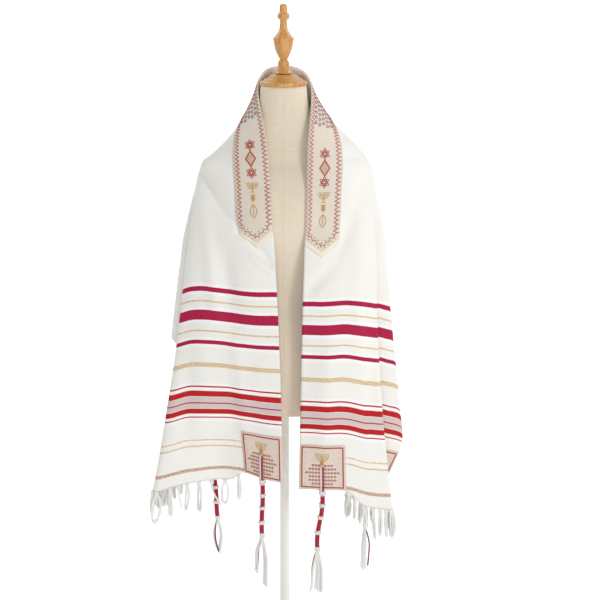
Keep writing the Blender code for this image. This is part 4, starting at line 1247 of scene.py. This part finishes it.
def patch_stitches(start, end, down):
    """A corner patch's embroidery, as (colour, line on the cut)."""
    low, high = start + 0.0055, start + PATCH_SIZE - 0.0055
    top, bottom = end - down * (PATCH_SIZE - 0.0055), end - down * 0.0055
    middle = (low + high) / 2
    lines = []
    for offset in (0.0, 0.0014):
        box = [(low + offset, top + down * offset), (high - offset, top + down * offset),
               (high - offset, bottom - down * offset), (low + offset, bottom - down * offset)]
        lines.append(("brick", box + box[:1]))
    for edge in (low + 0.008, high - 0.008):
        for k in range(7):
            v = top + down * (0.012 + k * 0.0125)
            colour_name = "amber" if k % 2 else "brick"
            lines.append((colour_name, [(edge, v), (edge, v + down * 0.0014)]))
    lines += [("amber", line) for line in lamp((middle, top + down * 0.018), 0.0145, down)]
    for row, count in enumerate((7, 9, 11, 9, 9, 7)):
        v = top + down * (0.043 + row * 0.0090)
        for k in range(count):
            u = middle + (k - (count - 1) / 2) * 0.0072
            if abs(u - middle) > 0.0065:
                shape = lozenge((u, v), 0.0027, 0.0022)
                lines.append(("brick", shape))
    lines += [("amber", line) for line in leaf_sprig((middle, end - down * 0.066), 0.012, down)]
    turns = np.linspace(0, 2 * math.pi, 17)
    hole_at = end - down * HOLE_INSET
    lines.append(("white", [(middle + 0.0052 * math.cos(a), hole_at + 0.0052 * math.sin(a)) for a in turns]))
    return lines


def make_embroidery(cloth, settings):
    """Stitched lines on the band and the patches, a piece for each and each colour."""
    shades = {"brick": settings.brick, "orange": settings.orange, "amber": settings.amber,
              "maroon": settings.maroon, "white": settings.pale}
    materials = {name: yarn(name + "_thread", tuple(shade), 0.2, 0.3) for name, shade in shades.items()}
    groups = {"band": (band_stitches(), "collar_satin")}
    for name, tassel in TASSELS.items():
        start = 0.0 if tassel.across < SHAWL_WIDTH / 2 else SHAWL_WIDTH - PATCH_SIZE
        stitches = patch_stitches(start, tassel.side * SHAWL_HALF_LENGTH, tassel.side)
        groups[name.replace("tassel_", "patch_")] = (stitches, "patch_satin")
    pieces = {}
    for group, (stitches, slot) in groups.items():
        for shade, material in materials.items():
            lines = []
            for _, line in [stitch for stitch in stitches if stitch[0] == shade]:
                places = fine_line(line, 0.0035)
                lines.append((cloth.at(places[:, 0], places[:, 1], 0.0023), settings.thread / 2))
            if lines:
                piece = add_piece(f"{group}_{shade}_stitches", yarn_mesh(lines, 4), material, slot)
                pieces.setdefault(group, []).append(piece)
    return pieces


def fine_line(line, step):
    """A line of straight runs, with no run longer than a step."""
    line = np.asarray(line, float)
    found = [line[:1]]
    for start, end in zip(line, line[1:]):
        count = max(int(np.ceil(np.hypot(*(end - start)) / step)), 1)
        found.append(start + (end - start) * np.arange(1, count + 1)[:, None] / count)
    return np.concatenate(found)


def lock_lines(cloth, lock, side, seed):
    """One lock of the fringe: loops of yarn that hang from a knot at the hem."""
    chance = np.random.default_rng(seed)
    lines = []
    root = cloth.below_hem(lock.across, side, 0.0, 0.0005)
    knot = cloth.below_hem(lock.across, side, 0.0005, LOCK_KNOT_DROP)
    reach = cloth.below_hem(lock.across, side, 0.0, 1.0) - cloth.below_hem(lock.across, side, 0.0, 0.0)
    wide = unit(cloth.at(lock.across + 0.004, side * SHAWL_HALF_LENGTH)
                - cloth.at(lock.across - 0.004, side * SHAWL_HALF_LENGTH))
    out = unit(np.cross(wide, reach))
    down = unit(np.array([0.12 * reach[0], 0.12 * reach[1], -1.0]))
    turn = np.linspace(0, 2 * math.pi, 13)
    for tilt in (-0.5, 0.45):
        ring = knot + np.outer(np.cos(turn), wide + tilt * down) * LOCK_KNOT_HALF[0]
        ring = ring + np.outer(np.sin(turn), out) * LOCK_KNOT_HALF[1]
        lines.append((ring, FRINGE_YARN * 0.8))
    lines += [(np.array([root + wide * aside, knot]), FRINGE_YARN * 0.9) for aside in LOCK_ROOTS]
    for number in range(lock.yarns):
        length = lock.length * (1 - 0.14 * chance.random()) - 0.006
        half = (lock.width / 2 - FRINGE_YARN) * (1 - 0.22 * number) * (0.9 + 0.2 * chance.random())
        lean = lock.lean + 0.004 * (chance.random() - 0.5)
        depth = (number - (lock.yarns - 1) / 2) * 0.0032 + 0.0015 * (chance.random() - 0.5)
        loop = []
        for part, spread in ((0.0, 0.15), (0.18, 0.75), (0.45, 1.0), (0.75, 0.9), (0.95, 0.55), (1.0, 0.0)):
            loop.append(knot + down * length * part - wide * half * spread + wide * lean * part**2
                        + out * (depth * math.sin(math.pi * min(part * 0.8, 1.0))))
        for part, spread in ((0.95, 0.5), (0.72, 0.85), (0.42, 1.0), (0.18, 0.7), (0.0, 0.15)):
            loop.append(knot + down * length * part + wide * half * spread + wide * lean * part**2
                        + out * (-depth * math.sin(math.pi * min(part * 0.8, 1.0))))
        if lock.width < 0.005:
            loop = loop[:6]
        lines += plied(along_line(loop, 0.003), FRINGE_YARN, 0.010, phase=chance.random() * 6)
    return lines


def make_fringes(cloth, settings):
    """A fringe of looped locks along each short end, between its patches."""
    material = yarn("fringe_yarn_soft", tuple(settings.white), 0.18)
    pieces = {}
    ends = (("fringe_left", -1, LEFT_LOCKS), ("fringe_right", 1, RIGHT_LOCKS))
    for name, side, shown in ends:
        chance = np.random.default_rng(11 if side < 0 else 17)
        locks = list(shown)
        across = shown[-1].across + LOCK_PITCH
        while across < SHAWL_WIDTH - PATCH_SIZE - 0.004:
            width = 0.007 + 0.008 * chance.random()
            length = 0.050 + 0.012 * chance.random()
            lean = 0.008 * (chance.random() - 0.5)
            locks.append(Lock(across, width, length, lean, int(chance.integers(2, 4))))
            across += LOCK_PITCH * (0.85 + 0.3 * chance.random())
        lines = []
        for number, lock in enumerate(locks):
            lines += lock_lines(cloth, lock, side, 100 * (side + 2) + number)
        piece = add_piece(name + "_locks", yarn_mesh(lines, 6), material, "fringe_yarn")
        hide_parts(name)
        pieces[name] = piece
    return pieces


def ring_line(centre, radius, tilt, turn, flat=1.0):
    """A ring of cord round an upright line, tilted to one side."""
    angles = np.linspace(0, 2 * math.pi, 15)
    x = radius * np.cos(angles)
    y = radius * flat * np.sin(angles)
    z = radius * tilt * np.sin(angles + turn)
    return np.asarray(centre) + np.column_stack([x, y, z])


def knot_lines(centre, radius, turn):
    """A white knot: three crossed rings of cord round a core."""
    lines = []
    for tilt, start, shift in ((0.34, 0.4, -0.0024), (0.42, 2.4, 0.0002), (0.30, 4.4, 0.0026)):
        ring = ring_line(centre + np.array([0, 0, shift]), radius - KNOT_PLY, tilt, start + turn)
        lines += plied(ring, KNOT_PLY, 0.006, phase=start)
    levels = np.linspace(-KNOT_HALF_HEIGHT, KNOT_HALF_HEIGHT, len(KNOT_PROFILE))
    core = centre + np.outer(levels, np.array([0, 0, 1.0]))
    return lines + [(core, radius * np.array(KNOT_PROFILE))]


def wound_lines(middle, start, stop):
    """A stretch of the stem wound closely with red cord."""
    turns = (stop - start) / WOUND_PITCH
    angle = np.linspace(0, 2 * math.pi * turns, int(turns * 12))
    drops = np.linspace(start, stop, len(angle))
    coil = np.array([middle(drop) for drop in drops])
    swell = WOUND_RADIUS + 0.0003 * np.sin(drops * 900)
    coil[:, 0] += swell * np.cos(angle)
    coil[:, 1] += swell * np.sin(angle)
    core = np.array([middle(drop) for drop in np.linspace(start - 0.002, stop + 0.002, 10)])
    return [(core, WOUND_CORE), (coil, WOUND_CORD)]


def make_tassel(cloth, name, tassel, materials):
    """A corner tassel: cords through the hole, a wound and knotted stem, and free strands."""
    end = tassel.side * SHAWL_HALF_LENGTH
    hole = end - tassel.side * HOLE_INSET
    steps = np.linspace(hole, end, 9)
    hem = cloth.below_hem(tassel.across, tassel.side, 0.001, 0.0)
    facing = cloth.at(tassel.across, end, 1.0) - cloth.at(tassel.across, end, 0.0)
    lines = {"white": [], "red": [], "maroon": []}

    def middle(drop):
        bend = tassel.bend * math.sin(42 * drop) + tassel.drift * drop
        return hem + np.array([bend, 0.3 * tassel.bend * math.sin(30 * drop + 1), -drop])

    top = middle(tassel.knots[0])
    rightward = -tassel.side
    for shade, offset in (("white", -CORD_OFFSET), ("red", CORD_OFFSET)):
        across = tassel.across - rightward * offset
        front = [cloth.at(across, v, CORD_LIFT) for v in steps[1:]]
        start = [cloth.at(across, hole, -0.001), cloth.at(across, hole, 0.0034)]
        finish = [cloth.below_hem(across, tassel.side, CORD_LIFT, 0.004), top + facing * 0.002]
        lines[shade] += plied(along_line(start + front + finish, 0.002), CORD_PLY, CORD_PITCH)
        behind = [cloth.at(across, v, -0.0030) for v in steps]
        tail = [cloth.below_hem(across, tassel.side, -0.003, 0.004), top - facing * 0.002]
        lines[shade] += plied(along_line(start[:1] + behind + tail, 0.002), CORD_PLY, CORD_PITCH)
    for k, drop in enumerate(tassel.knots):
        last = k == len(tassel.knots) - 1
        radius = FIRST_KNOT if k == 0 else LAST_KNOT if last else MIDDLE_KNOT
        lines["white"] += knot_lines(middle(drop), radius, 1.3 * k)
        if not last:
            lines["red"] += wound_lines(middle, drop + WOUND_GAP, tassel.knots[k + 1] - WOUND_GAP)
    foot = middle(tassel.knots[-1])
    for number, strand in enumerate(tassel.strands):
        deep = 0.0035 * math.sin(2.4 * number + 1)
        path = [foot]
        below = 0.6 * strand.bulge + 0.4 * strand.end
        for part, aside in ((0.12, strand.start), (0.45, strand.bulge), (0.78, below), (1.0, strand.end)):
            path.append(foot + np.array([aside, deep * math.sin(2.5 * part), -part * strand.length]))
        ply = STRAND_PLY[strand.shade]
        lines[strand.shade] += plied(along_line(path, 0.003), ply, STRAND_PITCH, phase=number)
    pieces = [
        add_piece(f"{name}_{shade}", yarn_mesh(parts, 6), materials[shade], "tassel_cord")
        for shade, parts in lines.items()
    ]
    for piece in pieces:
        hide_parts(name)
    return pieces


def make_tassels(cloth, settings):
    """The four corner tassels."""
    materials = {
        "white": yarn("tassel_white_yarn", tuple(settings.white), 0.18),
        "red": yarn("tassel_red_yarn", tuple(settings.red), 0.25),
        "maroon": yarn("tassel_maroon_yarn", tuple(settings.maroon), 0.3),
    }
    return {name: make_tassel(cloth, name, tassel, materials) for name, tassel in TASSELS.items()}


def make_form(settings):
    """The dress form: a sleeve of its sections, closed at both ends."""
    sides, rings = 96, 96
    bottom, top = FORM_SECTIONS[0].height, FORM_SECTIONS[-1].height
    bm = bmesh.new()
    bmesh.ops.create_grid(bm, x_segments=sides, y_segments=rings, size=0.5)
    for vertex in bm.verts:
        angle = 2 * math.pi * (vertex.co.x + 0.5)
        part = vertex.co.y + 0.5
        height = bottom + (top - bottom) * part
        lift = min((height - bottom) / FORM_BOTTOM_ROUND, 1.0)
        inset = FORM_BOTTOM_ROUND * (1 - math.sqrt(1 - (1 - lift) ** 2))
        half_width, front, back = form_section(np.array(max(height, bottom + FORM_BOTTOM_ROUND)))
        cosine, sine = math.cos(angle), math.sin(angle)
        depth = (back if sine > 0 else front) - inset
        vertex.co = Vector((
            math.copysign(abs(cosine) ** (2 / FORM_SQUARENESS), cosine) * (half_width - inset),
            math.copysign(abs(sine) ** (2 / FORM_SQUARENESS), sine) * depth,
            height,
        ))
    bmesh.ops.remove_doubles(bm, verts=bm.verts, dist=1e-5)
    rims = [edge for edge in bm.edges if edge.is_boundary]
    caps = bmesh.ops.holes_fill(bm, edges=rims, sides=0)["faces"]
    bmesh.ops.inset_region(bm, faces=caps, thickness=0.003)
    bmesh.ops.recalc_face_normals(bm, faces=bm.faces)
    mesh = bpy.data.meshes.new("dress_form")
    bm.to_mesh(mesh)
    bm.free()
    piece = add_piece("dress_form", mesh, linen(tuple(settings.linen)), "form_linen")
    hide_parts("torso")
    return piece


def softened(profile, parts=4):
    """A turned profile with its gentle bends made round and its sharp ones kept."""
    points = np.array(profile)
    found = []
    for i in range(len(points) - 1):
        start, end = points[i], points[i + 1]
        run = end - start
        tangents = []
        for k in (i, i + 1):
            if 0 < k < len(points) - 1:
                before, after = points[k] - points[k - 1], points[k + 1] - points[k]
                gentle = unit(before) @ unit(after) > 0.55
                lean = unit(unit(before) + unit(after)) if gentle else unit(run)
                reach = min(np.linalg.norm(before), np.linalg.norm(after), np.linalg.norm(run))
            else:
                lean, reach = unit(run), np.linalg.norm(run)
            tangents.append(lean * reach)
        for part in range(parts):
            found.append(hermite(start, end, tangents[0], tangents[1], part / parts))
    found.append(points[-1])
    return found


def turned(name, profile, sides, material, slot, node):
    """A turned piece: a profile of (radius, height), top to bottom, spun round the pole's axis."""
    bm = bmesh.new()
    line = [bm.verts.new((max(radius, 0.0), 0, height)) for radius, height in softened(profile)]
    edges = [bm.edges.new(pair) for pair in zip(line, line[1:])]
    bmesh.ops.spin(bm, geom=line + edges, cent=(0, 0, 0), axis=(0, 0, 1), angle=2 * math.pi,
                   steps=sides, use_merge=True)
    bmesh.ops.remove_doubles(bm, verts=bm.verts, dist=1e-6)
    bmesh.ops.recalc_face_normals(bm, faces=bm.faces)
    mesh = bpy.data.meshes.new(name)
    bm.to_mesh(mesh)
    bm.free()
    mesh.set_sharp_from_angle(angle=math.radians(50))
    piece = add_piece(name, mesh, material, slot)
    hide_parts(node)
    return piece


def make_stage(settings):
    """A pale floor that sweeps up behind, soft light, and the camera."""
    bm = bmesh.new()
    bmesh.ops.create_grid(bm, x_segments=2, y_segments=60, size=0.5)
    for vertex in bm.verts:
        run = (vertex.co.y + 0.5) * 16.0
        floor, bend = 9.0, 2.0
        turn = min(max(run - floor, 0.0) / bend, math.pi / 2)
        y = min(run, floor) + bend * math.sin(turn)
        z = bend * (1 - math.cos(turn)) + max(run - floor - bend * math.pi / 2, 0.0)
        vertex.co = Vector((vertex.co.x * 24.0, y - 5.0, z))
    mesh = bpy.data.meshes.new("studio_floor")
    bm.to_mesh(mesh)
    bm.free()
    tree = Tree("studio_floor_paper")
    speck = tree.noise(tree.place(), 3.0, 2.0)
    shade = tuple(settings.floor)
    mesh.materials.append(tree.finish(
        Base_Color=tree.mix(speck * 0.02, shade, tuple(0.95 * c for c in shade)), Roughness=0.9))
    mesh.polygons.foreach_set("use_smooth", [True] * len(mesh.polygons))
    floor_object = bpy.data.objects.new("studio_floor", mesh)
    bpy.context.scene.collection.objects.link(floor_object)
    world = bpy.data.worlds.new("soft_light")
    world.use_nodes = True
    world.node_tree.nodes["Background"].inputs["Color"].default_value = (1.0, 1.0, 1.0, 1)
    world.node_tree.nodes["Background"].inputs["Strength"].default_value = 0.41 * settings.light
    bpy.context.scene.world = world
    lamps = (
        ("key", (2.1, -2.7, 2.1), (0, 0, 0.95), 1.0, 42),
        ("front", (0.0, -3.7, 0.9), (0, 0, 0.70), 0.7, 29),
        ("backdrop_left", (-2.6, 1.2, 3.4), (-1.0, 5.0, 1.2), 2.0, 150),
        ("backdrop_right", (2.6, 1.2, 3.4), (1.0, 5.0, 1.2), 2.0, 150),
    )
    for name, place, target, width, power in lamps:
        light = bpy.data.lights.new(name, "AREA")
        light.size = width
        light.energy = power * settings.light
        holder = bpy.data.objects.new(name, light)
        holder.location = place
        holder.rotation_euler = (Vector(target) - Vector(place)).to_track_quat("-Z", "Y").to_euler()
        bpy.context.scene.collection.objects.link(holder)
    camera = bpy.data.cameras.new("front_view")
    camera.lens = 89.58
    camera.sensor_width = 36.0
    camera.clip_end = 60.0
    viewer = bpy.data.objects.new("front_view", camera)
    viewer.location = (0.036, -3.300, 1.585)
    viewer.rotation_euler = (math.radians(90 - 13.0), 0, 0)
    bpy.context.scene.collection.objects.link(viewer)
    bpy.context.scene.camera = viewer
    bpy.context.scene.view_settings.view_transform = "Standard"


made = {}


def draped_cloth(context):
    """The draped cloth, worked out once."""
    if "cloth" not in made:
        made["cloth"] = Cloth(context.scene.tallit_cloth.crease_share)
    return made["cloth"]


class TALLIT_OT_shawl(bpy.types.Operator):
    """Make the shawl's main cloth"""

    bl_idname = "tallit.shawl"
    bl_label = "Shawl"

    def execute(self, context):
        made["shawl"] = make_shawl(draped_cloth(context), context.scene.tallit_cloth)
        return {"FINISHED"}


class TALLIT_OT_neck_band(bpy.types.Operator):
    """Make the band along the neck edge"""

    bl_idname = "tallit.neck_band"
    bl_label = "Neck band"

    def execute(self, context):
        made["band"] = make_band(draped_cloth(context), context.scene.tallit_trim)
        return {"FINISHED"}


class TALLIT_OT_patches(bpy.types.Operator):
    """Make the four corner patches"""

    bl_idname = "tallit.patches"
    bl_label = "Corner patches"

    def execute(self, context):
        made["patches"] = make_patches(draped_cloth(context), context.scene.tallit_trim)
        return {"FINISHED"}


class TALLIT_OT_embroidery(bpy.types.Operator):
    """Stitch the band and the patches"""

    bl_idname = "tallit.embroidery"
    bl_label = "Embroidery"

    def execute(self, context):
        made["stitches"] = make_embroidery(draped_cloth(context), context.scene.tallit_trim)
        return {"FINISHED"}


class TALLIT_OT_fringes(bpy.types.Operator):
    """Make the fringe of each short end"""

    bl_idname = "tallit.fringes"
    bl_label = "Fringes"

    def execute(self, context):
        made["fringes"] = make_fringes(draped_cloth(context), context.scene.tallit_yarn)
        return {"FINISHED"}


class TALLIT_OT_tassels(bpy.types.Operator):
    bl_idname = "tallit.tassels"
    bl_label = "Corner tassels"

    def execute(self, context):
        tassels = make_tassels(draped_cloth(context), context.scene.tallit_yarn)
        sewn = list(made["fringes"].values()) + [piece for pieces in tassels.values() for piece in pieces]
        return {"FINISHED"}


class TALLIT_OT_dress_form(bpy.types.Operator):
    """Make the limbless dress form"""

    bl_idname = "tallit.dress_form"
    bl_label = "Dress form"

    def execute(self, context):
        make_form(context.scene.tallit_form)
        return {"FINISHED"}


class TALLIT_OT_turned_wood(bpy.types.Operator):
    """Turn the neck cap and its finial"""

    bl_idname = "tallit.turned_wood"
    bl_label = "Neck cap and finial"

    def execute(self, context):
        settings = context.scene.tallit_form
        material = wood(tuple(settings.wood), tuple(settings.wood_dark))
        turned("wooden_neck_cap", CAP_PROFILE, 96, material, "turned_wood", "neck_cap")
        turned("wooden_finial", FINIAL_PROFILE, 72, material, "turned_wood", "finial")
        return {"FINISHED"}


class TALLIT_OT_stand(bpy.types.Operator):
    """Make the pole and the base"""

    bl_idname = "tallit.stand"
    bl_label = "Stand"

    def execute(self, context):
        material = painted(tuple(context.scene.tallit_form.metal))
        turned("painted_pole", POLE_PROFILE, 48, material, "painted_metal", "stand_pole")
        turned("painted_base", BASE_PROFILE, 96, material, "painted_metal", "stand_base")
        return {"FINISHED"}


class TALLIT_OT_stage(bpy.types.Operator):
    """Set the floor, the light and the camera"""

    bl_idname = "tallit.stage"
    bl_label = "Stage"

    def execute(self, context):
        make_stage(context.scene.tallit_stage)
        return {"FINISHED"}


OPERATORS = (
    TALLIT_OT_shawl, TALLIT_OT_neck_band, TALLIT_OT_patches, TALLIT_OT_embroidery,
    TALLIT_OT_fringes, TALLIT_OT_tassels, TALLIT_OT_dress_form, TALLIT_OT_turned_wood,
    TALLIT_OT_stand, TALLIT_OT_stage,
)
SETTINGS = {
    "tallit_cloth": ClothSettings,
    "tallit_trim": TrimSettings,
    "tallit_yarn": YarnSettings,
    "tallit_form": FormSettings,
    "tallit_stage": StageSettings,
}


class TALLIT_PT_panel(bpy.types.Panel):
    """The shawl's steps and settings"""

    bl_label = "Tallit"
    bl_idname = "TALLIT_PT_panel"
    bl_space_type = "VIEW_3D"
    bl_region_type = "UI"
    bl_category = "Tallit"

    def draw(self, context):
        for operator in OPERATORS:
            self.layout.operator(operator.bl_idname)
        for name, group in SETTINGS.items():
            box = self.layout.box()
            for prop in group.__annotations__:
                box.prop(getattr(context.scene, name), prop)


def register():
    """Add the settings, the operators and the panel."""
    for group in SETTINGS.values():
        bpy.utils.register_class(group)
    for name, group in SETTINGS.items():
        setattr(bpy.types.Scene, name, bpy.props.PointerProperty(type=group))
    for operator in OPERATORS:
        bpy.utils.register_class(operator)
    bpy.utils.register_class(TALLIT_PT_panel)


def unregister():
    """Take away the panel, the operators and the settings."""
    bpy.utils.unregister_class(TALLIT_PT_panel)
    for operator in reversed(OPERATORS):
        bpy.utils.unregister_class(operator)
    for name in SETTINGS:
        delattr(bpy.types.Scene, name)
    for group in reversed(SETTINGS.values()):
        bpy.utils.unregister_class(group)


def main():
    """Make every piece and the stage."""
    register()
    bpy.ops.tallit.shawl()
    bpy.ops.tallit.neck_band()
    bpy.ops.tallit.patches()
    bpy.ops.tallit.embroidery()
    bpy.ops.tallit.fringes()
    bpy.ops.tallit.dress_form()
    bpy.ops.tallit.tassels()
    bpy.ops.tallit.turned_wood()
    bpy.ops.tallit.stand()
    bpy.ops.tallit.stage()


if __name__ == "__main__":
    main()
